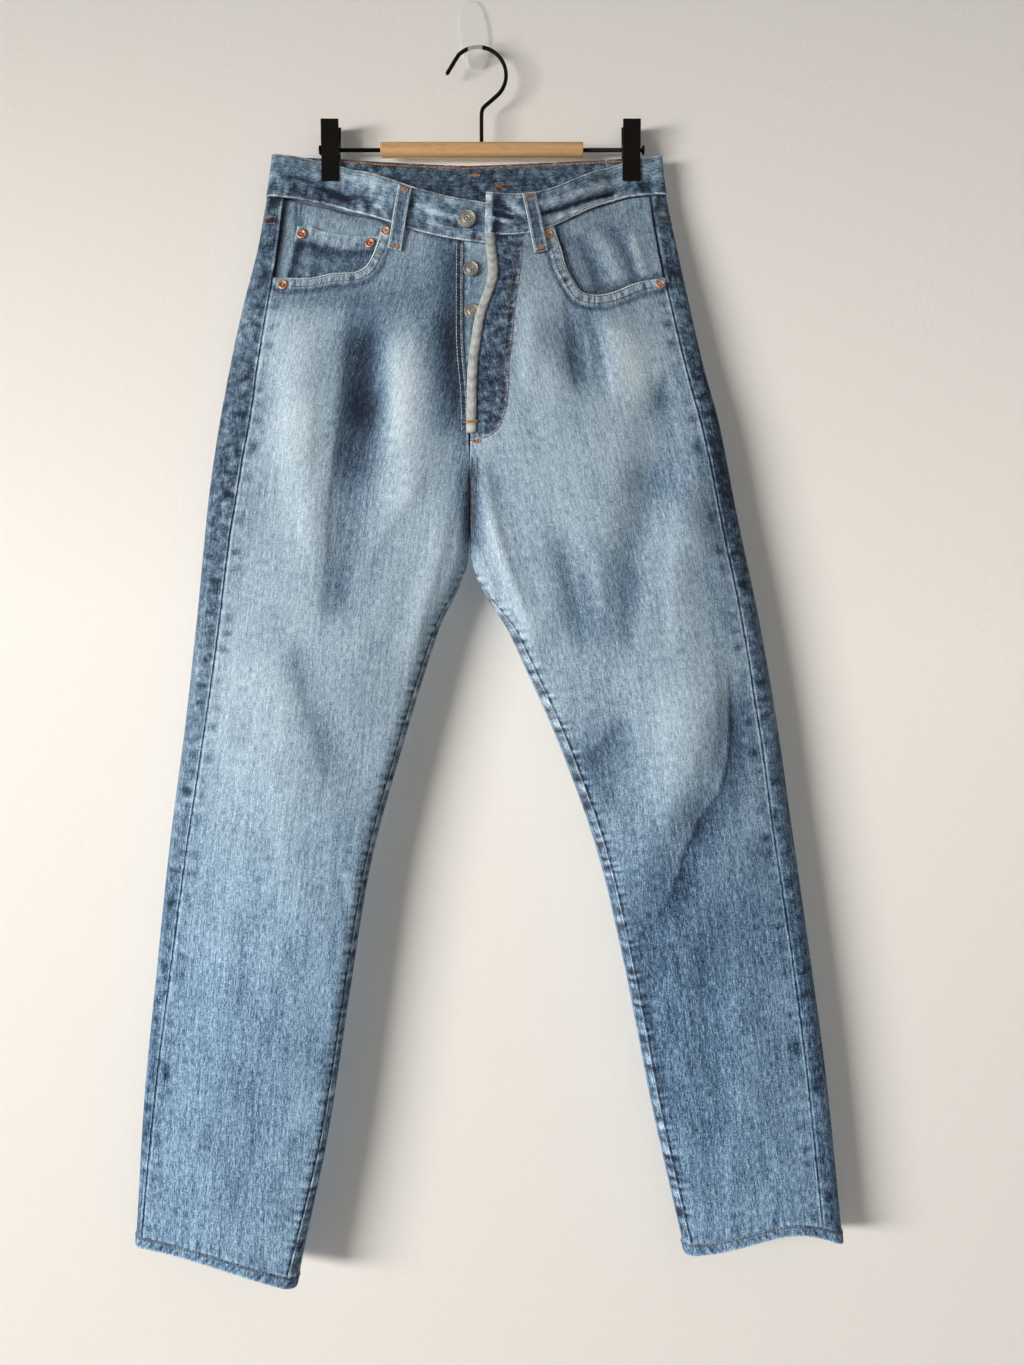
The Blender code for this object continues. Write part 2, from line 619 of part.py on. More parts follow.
def belt_loop(name, side, layer, top, bottom):
    """Strip over the waistband, standing off it between its two ends."""
    half = HALVES[side]
    share = np.linspace(0, 1, len(LOOP_STAND_OFF))
    stand_off = np.array(LOOP_STAND_OFF)
    centre = [half.locate(top[0] * (1 - t) + bottom[0] * t, top[1] * (1 - t) + bottom[1] * t, layer)
              for t in share]
    down = np.array([level for level, _ in centre])[:, None] + np.zeros(3)
    s = np.array([place for _, place in centre])[:, None] + np.array([-0.5, 0, 0.5]) * LOOP_WIDTH
    points = half.point(down, s)
    normals = half.normal(down, s)
    points = points + normals * (BAND_PROUD * (down < 0) + stand_off[:, None])[..., None]
    wall(name, points, normals, LOOP_THICK, 0.0, "denim_mid")


def back_pocket(half):
    """Patch pocket with a pointed bottom, on the back panel."""
    rows = np.array([0.0, 0.25, 0.5, 0.75, 1.0])[:, None]
    columns = np.linspace(-1, 1, 7)
    middle = -half.length(BACK_POCKET_TOP, "back") * 0.5
    width = BACK_POCKET_WIDTH * (1 - 0.12 * rows)
    s = middle + columns * width / 2
    point_down = BACK_POCKET_POINT * (1 - np.abs(columns)) * rows
    down = BACK_POCKET_TOP + (BACK_POCKET_HEIGHT - BACK_POCKET_POINT) * rows + point_down
    panel("back_pocket_" + half.side, half, down, s, outside=OVERLAY_GAP + DENIM, trim=False)


def waistband():
    """One strip from the button end, round the back, to the buttonhole end."""
    rows = np.array([*BAND_ROWS, -SEAM_GAP / 2])
    share = clustered(16, 0.6)
    grids = []
    for side in ("right", "left"):
        half = HALVES[side]
        front = half.length(rows)[:, None] * (1 - share)
        back = -half.length(rows, "back")[:, None] * share[1:]
        s = np.hstack([front, back])
        down = np.broadcast_to(rows[:, None], s.shape)
        grids.append((half.point(down, s), half.normal(down, s)))
    (right_points, right_normals), (left_points, left_normals) = grids
    points = np.hstack([right_points, left_points[:, -2::-1]])
    normals = np.hstack([right_normals, left_normals[:, -2::-1]])
    wall("waistband", points, normals, BAND_PROUD, BAND_PROUD - BAND_THICK, "denim_mid")


def hem(half):
    """Turned-up hem, a ring round the bottom of the leg."""
    rows = np.array([HEM_TOP + SEAM_GAP / 2, HEM_TOP + HEM_HEIGHT / 2, HEM_TOP + HEM_HEIGHT])
    share = clustered(14, 0.5)
    front = half.length(rows)[:, None] * share
    back = -half.length(rows, "back")[:, None] * share[::-1][:-1]
    s = np.hstack([front, back[:, 1:]])
    down = np.broadcast_to(rows[:, None], s.shape)
    wall("hem_" + half.side, half.point(down, s), half.normal(down, s),
         HEM_PROUD, HEM_PROUD - HEM_THICK, "denim_mid", ring=True)


def turned(name, profile, base, axis, material_name, sides=20):
    """Solid turned from (radius, height) pairs about an axis that starts at base."""
    frame = Vector(axis).to_track_quat("Z", "Y").to_matrix()
    vertices = []
    for radius, height in profile:
        for i in range(sides):
            angle = 2 * math.pi * i / sides
            local = Vector((radius * math.cos(angle), radius * math.sin(angle), height))
            vertices.append(frame @ local + Vector(base))
    faces = [tuple(range(sides))[::-1], tuple(range(len(vertices) - sides, len(vertices)))]
    for ring in range(len(profile) - 1):
        for i in range(sides):
            j = (i + 1) % sides
            a, b = ring * sides, (ring + 1) * sides
            faces.append((a + i, a + j, b + j, b + i))
    return add_mesh(name, vertices, faces, material_name)


def fastening(name, half, x, z, height, diameter, profile, material_name):
    """Button or rivet on the form at (x, z), with its profile scaled to the diameter."""
    down, s = half.locate(x, z)
    normal = half.normal(down, s)
    base = half.point(down, s) + normal * height
    scaled = [(radius * diameter / 2, rise * diameter / 2) for radius, rise in profile]
    turned(name, scaled, base, normal, material_name)


def fastenings():
    """Waist button, fly buttons and rivets."""
    right = HALVES["right"]
    fastening("waist_button", right, *WAIST_BUTTON_AT, BAND_PROUD + OVERLAY_GAP, WAIST_BUTTON,
              BUTTON_PROFILE, "grey_metal")
    for number, place in enumerate(FLY_BUTTONS_AT, 1):
        fastening(f"fly_button_{number}", right, *place, OVERLAY_GAP - 0.2, FLY_BUTTON,
                  BUTTON_PROFILE, "grey_metal")
    for name, side, x, z, height in RIVETS:
        fastening(name, HALVES[side], x, z, height, RIVET, RIVET_PROFILE, "copper")


def prism(name, outline, low, high, material_name):
    """Solid with a (d, z) outline, extruded along x from low to high."""
    count = len(outline)
    vertices = [(x, -d, z) for x in (low, high) for d, z in outline]
    faces = [tuple(range(count)), tuple(range(2 * count - 1, count - 1, -1))]
    for i in range(count):
        j = (i + 1) % count
        faces.append((i, i + count, j + count, j))
    return add_mesh(name, vertices, faces, material_name)


def combine(target, tool, operation):
    """Join the tool to the target, or cut it away; the tool itself stays hidden."""
    boolean = target.modifiers.new("join", "BOOLEAN")
    boolean.operation = operation
    boolean.solver = "EXACT"
    boolean.object = tool
    tool.hide_render = True
    tool.display_type = "WIRE"


def rod_hole(name, low, high):
    """Cutter for the rod's hole, along x."""
    radius = ROD_RADIUS + SEAM_GAP
    profile = [(radius, 0.0), (radius, high - low)]
    return turned(name, profile, (low, -HANGER_D, ROD_Z), (1, 0, 0), "black_metal", sides=16)


def clip_jaw(side, facing):
    """One jaw of a clip: a bent plate with two ears that turn on the rod."""
    out = 1.0 if facing == "front" else -1.0
    inner = JAW_INNER[facing]
    outer = [(away + JAW_THICK, z) for away, z in reversed(inner)]
    outline = [(HANGER_D + out * away, z) for away, z in (*inner, *outer)]
    middle = CLIP_X[side]
    low, high = middle - CLIP_WIDTH / 2, middle + CLIP_WIDTH / 2
    name = f"clip_{facing}_{side}"
    jaw = prism(name, outline, low, high, "black_metal")
    ear_out = CLIP_WIDTH / 2 if facing == "front" else CLIP_WIDTH / 2 - EAR_THICK - SEAM_GAP
    near, far = HANGER_D + out * (4.5 + JAW_THICK / 2), HANGER_D - out * 3.4
    ear = [(near, ROD_Z - 5.5), (near, ROD_Z + 4.5), (far, ROD_Z + 3.2), (far, ROD_Z - 3.2)]
    for number, edge in enumerate((-ear_out, ear_out - EAR_THICK)):
        start = middle + edge
        tool = prism(f"{name}_ear_{number}", ear, start, start + EAR_THICK, "black_metal")
        combine(jaw, tool, "UNION")
    combine(jaw, rod_hole(name + "_hole", low - 2, high + 2), "DIFFERENCE")


def clip_spring(side):
    """Coiled spring of a clip, as the sleeve that it fills round the rod."""
    length = CLIP_WIDTH - 4 * EAR_THICK - 4 * SEAM_GAP
    low = CLIP_X[side] - length / 2
    spring = turned("clip_spring_" + side, [(SPRING_RADIUS, 0.0), (SPRING_RADIUS, length)],
                    (low, -HANGER_D, ROD_Z), (1, 0, 0), "black_metal", sides=16)
    combine(spring, rod_hole(f"clip_spring_{side}_hole", low - 2, low + length + 2), "DIFFERENCE")


def rod():
    """Rod with a stop on each end."""
    start, end = ROD_ENDS
    length = end - start
    profile = ((END_STOP_RADIUS * 0.8, 0.0), (END_STOP_RADIUS, 0.6), (END_STOP_RADIUS, 1.8),
               (ROD_RADIUS, END_STOP_THICK), (ROD_RADIUS, length - END_STOP_THICK),
               (END_STOP_RADIUS, length - 1.8), (END_STOP_RADIUS, length - 0.6),
               (END_STOP_RADIUS * 0.8, length))
    turned("hanger_rod", profile, (start, -HANGER_D, ROD_Z), (1, 0, 0), "black_metal", sides=16)


def dowel():
    """Wooden sleeve round the middle of the rod."""
    start, end = DOWEL_ENDS
    length = end - start
    profile = ((DOWEL_RADIUS - 0.6, 0.0), (DOWEL_RADIUS, 0.6), (DOWEL_RADIUS, length - 0.6),
               (DOWEL_RADIUS - 0.6, length))
    sleeve = turned("hanger_dowel", profile, (start, -HANGER_D, ROD_Z), (1, 0, 0), "beech", 28)
    combine(sleeve, rod_hole("hanger_dowel_hole", start - 2, end + 2), "DIFFERENCE")


def hanger_hook():
    """Round wire hook: a straight tip, an arc over the wall hook and a stem to the dowel."""
    centre_x, centre_z = HOOK_CENTRE
    route = [HOOK_TIP]
    for step in range(HOOK_ARC_STEPS + 1):
        angle = math.radians(HOOK_ARC[0] + (HOOK_ARC[1] - HOOK_ARC[0]) * step / HOOK_ARC_STEPS)
        route.append((centre_x + HOOK_RADIUS * math.cos(angle),
                      centre_z + HOOK_RADIUS * math.sin(angle)))
    route += [*HOOK_SHANK, (STEM_X, ROD_Z + DOWEL_RADIUS + SEAM_GAP)]
    curve = bpy.data.curves.new("hanger_hook", "CURVE")
    curve.dimensions = "3D"
    curve.bevel_depth = WIRE_RADIUS * MM
    curve.bevel_resolution = 3
    curve.render_resolution_u = 0
    curve.use_fill_caps = True
    spline = curve.splines.new("POLY")
    spline.points.add(len(route) - 1)
    for point, (x, z) in zip(spline.points, route):
        point.co = (x * MM, -HANGER_D * MM, z * MM, 1.0)
    curve.materials.append(material("black_metal"))
    bpy.context.collection.objects.link(bpy.data.objects.new("hanger_hook", curve))


def wall_hook():
    """Clear oval plate, flat against the wall, with an arm that turns up in front of the wire."""
    width, height, thick = PLATE_SIZE
    outline = []
    for i in range(PLATE_SIDES):
        angle = 2 * math.pi * i / PLATE_SIDES
        cos, sin = math.cos(angle), math.sin(angle)
        x = width / 2 * math.copysign(abs(cos) ** PLATE_ROUNDNESS, cos)
        z = height / 2 * math.copysign(abs(sin) ** PLATE_ROUNDNESS, sin)
        turn_x = x * math.cos(PLATE_TILT) + z * -math.sin(PLATE_TILT)
        outline.append((turn_x, z * math.cos(PLATE_TILT) + x * math.sin(PLATE_TILT)))
    rings = ((1.0, 0.0), (1.0, thick * 0.6), (0.94, thick))
    vertices = [(x * size, -d, z * size) for size, d in rings for x, z in outline]
    last = len(vertices) - 1
    faces = [tuple(range(PLATE_SIDES)), tuple(range(last, last - PLATE_SIDES, -1))]
    for ring in range(len(rings) - 1):
        for i in range(PLATE_SIDES):
            j = (i + 1) % PLATE_SIDES
            a, b = ring * PLATE_SIDES, (ring + 1) * PLATE_SIDES
            faces.append((a + i, b + i, b + j, a + j))
    plate = add_mesh("wall_hook", vertices, faces, "clear_plastic")
    wire_inside = HOOK_RADIUS - WIRE_RADIUS
    reach = HOOK_CENTRE[0] - ARM_X[0]
    seat = HOOK_CENTRE[1] + math.sqrt(wire_inside ** 2 - reach ** 2) - SEAM_GAP
    lip = HANGER_D + WIRE_RADIUS + SEAM_GAP
    arm = ((1.2, seat), (lip, seat), (lip, -10.7), (lip + 1.6, -10.2), (lip + 2.6, -12.0),
           (lip + 2.9, -21.0), (lip + 1.6, -26.4), (12.0, -29.5), (6.0, -31.5), (1.2, -32.5))
    tool = prism("wall_hook_arm", arm, *ARM_X, "clear_plastic")
    combine(plate, tool, "UNION")


def main():
    """Build every piece."""
    clear_scene()
    for half in HALVES.values():
        front_panel(half)
        back_panel(half)
        yoke(half)
        pocket_facing(half)
        back_pocket(half)
        hem(half)
    coin_pocket(HALVES["right"])
    fly_button_placket(HALVES["right"])
    fly_facing(HALVES["left"])
    waistband()
    for loop in LOOPS:
        belt_loop(*loop)
    fastenings()
    for side in CLIP_X:
        clip_jaw(side, "front")
        clip_jaw(side, "back")
        clip_spring(side)
    rod()
    dowel()
    hanger_hook()
    wall_hook()


main()
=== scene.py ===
"""Looks of the straight leg jeans on their clip hanger and clear wall hook.

The cloth is built on the same form as the CAD model: each leg, with its half of the hips and
waistband, is one closed form.  A place on it is given by how far down from the waist seam it is,
and by s, the way along the cloth from the leg's outer edge: positive across the front, negative
across the back.  Sizes are in millimetres: x is to the viewer's right, d is the distance out
from the wall (y = -d) and z is up.  Right and left are the wearer's, so the right leg is at -x.
"""

import math

import bpy
import numpy as np
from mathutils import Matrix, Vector


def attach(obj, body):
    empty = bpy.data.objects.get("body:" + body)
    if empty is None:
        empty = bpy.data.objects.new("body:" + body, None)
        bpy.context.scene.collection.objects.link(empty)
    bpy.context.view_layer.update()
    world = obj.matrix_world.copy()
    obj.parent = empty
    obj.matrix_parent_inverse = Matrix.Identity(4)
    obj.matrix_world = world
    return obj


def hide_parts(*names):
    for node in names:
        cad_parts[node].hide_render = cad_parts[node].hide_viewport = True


MM = 0.001
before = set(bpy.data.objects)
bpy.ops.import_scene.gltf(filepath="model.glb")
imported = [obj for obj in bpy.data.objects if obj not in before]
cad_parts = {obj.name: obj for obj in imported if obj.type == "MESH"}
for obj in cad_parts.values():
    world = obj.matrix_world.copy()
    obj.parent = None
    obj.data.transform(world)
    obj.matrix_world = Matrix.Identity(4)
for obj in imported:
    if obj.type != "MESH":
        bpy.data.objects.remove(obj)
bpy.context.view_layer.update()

# Camera, in metres: it looks straight at the wall from the height of the knees.
CAMERA_AT = (0.0363, -0.980, -0.618)
CAMERA_LENS = 27.04
SENSOR = 36.0

# Cloth, in millimetres.
DENIM = 1.3
SEAM_GAP = 0.3
BAND_PROUD = 0.7
BAND_THICK = 2.4
HEM_PROUD = 0.8
HEM_THICK = 3.2
HEM_HEIGHT = 10.5
YOKE_SIDE = 16.0
YOKE_CENTRE = 80.0
YOKE_FADE = 188.0
CROTCH_DOWN = 300.0
HEM_TOP = 977.0 - HEM_HEIGHT
BAND_HEIGHT = 37.0
COIN_DEPTH = 2.2
FACING_DEPTH = {"right": 4.1, "left": 2.3}
FACING_BOTTOM = 86.0
BACK_POCKET_TOP = 104.0
BACK_POCKET_WIDTH = 146.0
BACK_POCKET_HEIGHT = 164.0
BACK_POCKET_POINT = 20.0
BACK_POCKET_TAPER = 0.12
OVERLAY_GAP = 0.5
LOOP_WIDTH = 12.0
LOOP_THICK = 1.6

# Hanger and wall hook, in millimetres.
HANGER_D = 15.0
WIRE_RADIUS = 1.8
HOOK_RADIUS = 26.4
HOOK_CENTRE = (4.3, -46.4)
HOOK_TIP = (-25.3, -45.8)
HOOK_ARC = (134.0, -43.0)
HOOK_SHANK = ((15.2, -71.8), (11.0, -75.4), (8.8, -78.0), (7.8, -81.5), (7.6, -86.0))
ROD_Z = -117.0
ROD_RADIUS = 1.85
ROD_ENDS = (-145.3, 160.9)
END_STOP_RADIUS = 4.2
END_STOP_THICK = 2.4
DOWEL_RADIUS = 7.0
DOWEL_ENDS = (-87.0, 103.0)
CLIP_X = {"right": -134.1, "left": 148.3}
CLIP_WIDTH = 16.6
CLIP_TOP = -91.8
CLIP_BOTTOM = -147.7
JAW_THICK = 1.8
EAR_THICK = 1.2
SPRING_RADIUS = 3.4
PLATE_SIZE = (28.2, 67.0, 2.6)
PLATE_TILT = math.radians(6.5)
ARM_X = (-5.1, 8.5)

# Where the cloth of the two sides is pinched between the clip jaws.
PINCH_FRONT_D = 16.9
PINCH_BACK_D = 13.1
PINCH_REACH = 26.0
PINCH_DOWN = (-10.0, 12.0)

# Fastenings, in millimetres.
WAIST_BUTTON = 17.0
WAIST_BUTTON_AT = (-4.9, -192.9)
FLY_BUTTON = 14.4
FLY_BUTTONS_AT = ((-1.2, -239.6), (-0.3, -278.9))
RIVET = 9.4
RIVETS = (
    ("rivet_coin_outer", "right", -159.9, -199.6, -1.2),
    ("rivet_coin_inner", "right", -95.5, -210.6, -1.2),
    ("rivet_mouth_right_inner", "right", -80.6, -200.4, 0.5),
    ("rivet_mouth_right_outer", "right", -175.6, -249.9, 1.0),
    ("rivet_mouth_left_inner", "left", 69.8, -206.6, 0.5),
    ("rivet_mouth_left_outer", "left", 173.6, -248.6, 0.5),
)

# The edges of each half at each level: the outer edge, the inner end of the front layer (the
# centre front, or the inner edge of the leg) and the inner end of the back layer.
EDGE_COLUMNS = "down out_x out_d out_z in_x in_d in_z back_x back_d back_z"
EDGES = {
    "right": {
        "band_top": (-37, -188.5, 16, -122.8, 17.9, 37, -177.8, -7.2, 10, -130.2),
        "waist": (0, -194.1, 16, -162.3, 17.9, 39, -215.4, -7.2, 10, -166.1),
        "hip_top": (46, -202.1, 18, -212.1, 19.8, 41, -256.6, -7.2, 11, -211.0),
        "hip": (97, -214.4, 21, -264.8, 18.0, 42, -306.4, -7.2, 11, -264.0),
        "seat": (155, -227.0, 23, -326.2, 12.5, 42, -356.7, -6.2, 11, -324.5),
        "fly_end": (204, -235.8, 25, -378.1, 3.4, 42, -397.9, -5.3, 11, -379.3),
        "recess": (242, -242.0, 26, -420.2, -2.4, 42, -432.7, -4.3, 12, -422.0),
        "gusset": (271, -245.7, 26, -450.0, -2.9, 35, -460.8, -4.1, 17, -457.8),
        "crotch": (300, -248.5, 26, -477.9, -3.8, 28, -493.1, -3.8, 28, -493.1),
        "thigh": (384, -255.9, 26, -555.2, -32.3, 30, -571.2, -32.3, 30, -571.2),
        "over_knee": (490, -267.4, 25, -657.6, -64.4, 33, -675.7, -64.4, 33, -675.7),
        "knee": (596, -281.7, 24, -764.9, -94.5, 36, -788.8, -94.5, 36, -788.8),
        "calf": (715, -295.1, 23, -891.1, -114.6, 37, -914.7, -114.6, 37, -914.7),
        "shin": (835, -306.7, 22, -1008.2, -131.7, 39, -1028.8, -131.7, 39, -1028.8),
        "hem": (977, -314.6, 21, -1139.6, -160.7, 41, -1169.0, -160.7, 41, -1169.0),
    },
    "left": {
        "band_top": (-37, 176.4, 16, -123.8, 12.6, 45, -170.6, -7.2, 10, -130.2),
        "waist": (0, 181.1, 16, -160.5, 11.7, 46, -209.3, -7.2, 10, -166.1),
        "hip_top": (46, 191.2, 18, -212.1, 14.5, 49, -245.1, -7.2, 11, -211.0),
        "hip": (97, 201.9, 21, -264.8, 1.8, 50, -290.9, -7.2, 11, -264.0),
        "seat": (155, 215.6, 23, -326.2, -4.6, 49.5, -347.0, -6.2, 11, -324.5),
        "fly_end": (204, 229.2, 25, -378.1, -5.1, 47, -395.4, -5.3, 11, -379.3),
        "recess": (242, 237.3, 26, -420.2, -1.8, 42.3, -432.7, -4.3, 12, -422.0),
        "gusset": (271, 242.9, 26, -450.0, -2.1, 35, -460.8, -4.1, 17, -457.8),
        "crotch": (300, 248.5, 26, -477.9, -2.7, 28, -494.0, -2.7, 28, -494.0),
        "thigh": (384, 264.3, 26, -552.4, 36.3, 26, -578.4, 36.3, 26, -578.4),
        "over_knee": (490, 282.0, 26, -652.9, 82.0, 25, -680.9, 82.0, 25, -680.9),
        "knee": (596, 295.7, 27, -750.5, 116.4, 25, -778.7, 116.4, 25, -778.7),
        "calf": (715, 311.2, 28, -861.8, 141.6, 25, -885.9, 141.6, 25, -885.9),
        "shin": (835, 327.6, 29, -986.8, 164.9, 25, -1005.1, 164.9, 25, -1005.1),
        "hem": (977, 342.2, 30, -1134.7, 196.6, 25, -1146.7, 196.6, 25, -1146.7),
    },
}

# The fullness at the same levels: radius of the outer and inner folds, belly of the front and
# back layers, lift and sway of the front's level line, how far the side seam has rolled round to
# the front, and how far the front panel stops short of its inner end.
SHAPE_COLUMNS = "out_r in_r front back lift sway seam inset"
SHAPE = {
    "right": {
        "band_top": (3.6, 0, 0, 0, 2.5, 4.5, 18, 26),
        "waist": (4, 0, 0, 0, 1.5, 5, 19, 26),
        "hip_top": (6, 0, 2, 1, 1, 2, 23, 28),
        "hip": (8, 0, 4, 2, 0, 1, 29, 26),
        "seat": (10, 0, 5, 2, 0, 0, 34, 16.5),
        "fly_end": (11, 0, 6, 3, 0, 0, 37, 6.4),
        "recess": (12, 3, 7, 3, 0, 0, 37, 0),
        "gusset": (12, 7, 9, 4, 0, 0, 36, 0),
        "crotch": (13, 13, 12, 5, 0, 0, 35, 0),
        "thigh": (14, 14, 13, 5, 0, 0, 34, 9),
        "over_knee": (14, 14, 12, 5, 0, 0, 31, 10),
        "knee": (13, 14, 12, 5, 0, 0, 28, 10),
        "calf": (13, 13, 10, 5, 0, 0, 24, 10),
        "shin": (12, 12, 8, 4, 0, 0, 20, 11),
        "hem": (11, 11, 7, 4, 6, 0, 14, 15),
    },
    "left": {
        "band_top": (3.6, 0, 0, 0, -5, 7, 15, 0),
        "waist": (4, 0, 0, 0, -1, 8.5, 17, 3.4),
        "hip_top": (6, 0, 2, 1, -1, 4, 21, 3.4),
        "hip": (8, 0, 4, 2, 0, 1, 23, 3.4),
        "seat": (10, 0, 5, 2, 0, 0, 24, 3.4),
        "fly_end": (11, 0, 6, 3, 0, 0, 25, 3.4),
        "recess": (12, 3, 7, 3, 0, 0, 25, 0),
        "gusset": (12, 7, 9, 4, 0, 0, 25, 0),
        "crotch": (13, 13, 12, 5, 0, 0, 26, 0),
        "thigh": (14, 14, 13, 5, 0, 0, 27, 15),
        "over_knee": (14, 14, 12, 5, 0, 0, 28, 16),
        "knee": (13, 14, 12, 5, 0, 0, 28, 16),
        "calf": (13, 13, 10, 5, 0, 0, 27, 15),
        "shin": (12, 12, 9, 4, 0, 0, 27, 14),
        "hem": (11, 11, 7, 4, 14, 5, 27, 13),
    },
}

# Soft folds of the front: a trough (negative) or ridge along the line from (x0, z0) to (x1, z1),
# as x0, z0, x1, z1, width and height.  These are the CAD model's own.
FOLDS = {
    "right": (
        (-168, -288, -166, -406, 20, 4.0),
        (-99, -308, -98, -368, 16, -5.0),
        (-98, -368, -111, -536, 20, -4.0),
        (-60, -309, -55, -447, 20, 3.0),
        (-149, -602, -117, -700, 24, -3.0),
    ),
    "left": (
        (82, -299, 107, -334, 16, -4.0),
        (131, -299, 131, -339, 18, 3.0),
        (173, -358, 162, -433, 20, -5.0),
        (162, -433, 135, -536, 22, -4.0),
        (198, -427, 203, -486, 18, 3.0),
        (92, -503, 99, -556, 18, -3.0),
        (21, -477, 54, -562, 16, 3.5),
        (185, -634, 176, -716, 34, 5.0),
        (240, -642, 206, -738, 18, -4.0),
        (206, -738, 164, -834, 18, -4.0),
    ),
}

# Finer creases of the front, each along a path of (x, z) points that runs down and fades out at
# both ends, as path, reach to the viewer's left and right, height and change of tone.  The
# change of tone is painted shade along the troughs and painted highlight along the ridges.
CREASES = {
    "right": (
        (((-101, -252), (-110, -300), (-114, -350), (-117, -390), (-122, -452)),
         7, 26, -2.6, -0.21),
        (((-114, -366), (-121, -422), (-127, -464), (-127, -510), (-134, -590)),
         6, 20, -2.2, -0.17),
        (((-142, -256), (-146, -300), (-148, -350), (-152, -410), (-149, -460), (-152, -530)),
         24, 10, 2.2, 0.12),
        (((-74, -290), (-71, -330), (-70, -370), (-68, -412)), 10, 14, 1.8, 0.12),
        (((-26, -268), (-19, -322), (-13, -366), (-10, -404)), 24, 7, -1.6, -0.18),
        (((-30, -418), (-50, -454), (-78, -494), (-98, -536)), 6, 12, -1.4, -0.08),
        (((-20, -440), (-30, -500), (-44, -550), (-62, -610)), 12, 6, 2.2, 0.10),
        (((-160, -560), (-150, -620), (-132, -680), (-120, -720)), 8, 16, -1.8, -0.07),
        (((-120, -786), (-116, -802), (-113, -828)), 4, 5, -1.6, 0.14),
        (((-150, -792), (-138, -806), (-124, -812)), 5, 5, -1.2, -0.05),
        (((-208, -800), (-204, -860), (-200, -940)), 10, 14, -1.2, -0.04),
        (((-180, -680), (-176, -730), (-170, -790)), 12, 14, 1.4, 0.05),
        (((-248, -930), (-256, -1010), (-250, -1120)), 10, 14, 1.2, 0.03),
        (((-196, -940), (-200, -1010), (-190, -1120)), 14, 10, -1.2, -0.04),
        (((-4, -404), (-5, -440), (-6, -500)), 8, 8, -0.4, -0.26),
    ),
    "left": (
        (((86, -252), (91, -301), (98, -362)), 5, 9, -2.0, -0.10),
        (((104, -270), (117, -320), (126, -372)), 9, 4, -1.8, -0.10),
        (((103, -292), (107, -318), (109, -344)), 3, 3, 0.8, 0.12),
        (((130, -276), (144, -322), (164, -368)), 18, 20, 1.6, 0.10),
        (((178, -326), (175, -345), (171, -372)), 2, 7, -0.9, -0.12),
        (((52, -252), (51, -310), (48, -366)), 7, 11, 1.5, 0.12),
        (((170, -334), (181, -380), (182, -420), (172, -460)), 9, 13, -1.6, -0.05),
        (((186, -392), (166, -444), (152, -490), (136, -552)), 16, 9, -2.0, -0.08),
        (((152, -506), (145, -550), (142, -596)), 10, 9, -1.6, -0.09),
        (((190, -424), (187, -484), (181, -530), (192, -600)), 8, 20, 2.4, 0.10),
        (((79, -462), (85, -510), (95, -553), (106, -606)), 11, 5, -1.8, -0.11),
        (((110, -494), (116, -530), (120, -566)), 6, 6, 1.2, 0.08),
        (((6, -400), (14, -458), (26, -506), (49, -568), (64, -616)), 5, 8, 1.3, 0.07),
        (((14, -398), (23, -452), (35, -500), (58, -566)), 4, 14, -1.6, -0.10),
        (((218, -570), (219, -640), (214, -696), (190, -756)), 40, 9, 2.0, 0.02),
        (((234, -590), (237, -668), (229, -714), (210, -744), (195, -774), (188, -800),
          (174, -829), (150, -850)), 2.5, 20, -2.6, -0.20),
        (((138, -644), (124, -672), (98, -694)), 6, 10, -1.8, -0.12),
        (((208, -850), (216, -930), (224, -1010)), 18, 10, -1.4, -0.07),
        (((138, -810), (152, -862), (164, -920), (177, -1002), (188, -1076)),
         4, 11, -2.0, -0.13),
        (((132, -816), (146, -880), (160, -950), (170, -1006), (180, -1076)),
         7, 4, 1.4, 0.08),
        (((-2, -402), (-1, -440), (0, -476), (4, -508)), 8, 8, -0.4, -0.42),
        (((240, -880), (246, -950), (250, -1040)), 12, 14, 1.4, 0.05),
        (((210, -1000), (220, -1060), (226, -1124)), 10, 12, -1.2, -0.05),
    ),
}

# Folds of the back, which is hidden on the wall, in the columns of FOLDS.
BACK_FOLDS = {
    "right": (
        (-60, -380, -150, -430, 22, -4.0),
        (-40, -430, -130, -500, 20, 3.0),
        (-70, -520, -170, -560, 18, -3.0),
        (-120, -700, -230, -735, 16, -3.0),
        (-115, -745, -215, -790, 16, 2.5),
        (-150, -860, -200, -1010, 24, -2.5),
    ),
    "left": (
        (50, -385, 160, -420, 22, -4.0),
        (40, -440, 130, -505, 20, 3.0),
        (90, -530, 180, -575, 18, -3.0),
        (150, -690, 240, -740, 16, -3.0),
        (160, -750, 250, -780, 16, 2.5),
        (230, -860, 250, -1010, 24, -2.5),
    ),
}

# The turned fold across the left waistband, as a groove with a ridge above it.
BAND_FOLD = ((50.0, -190.5), (58.6, -188.9), (72.8, -184.4), (86.5, -178.9), (107.4, -169.3),
             (128.4, -159.7), (138.0, -155.0))
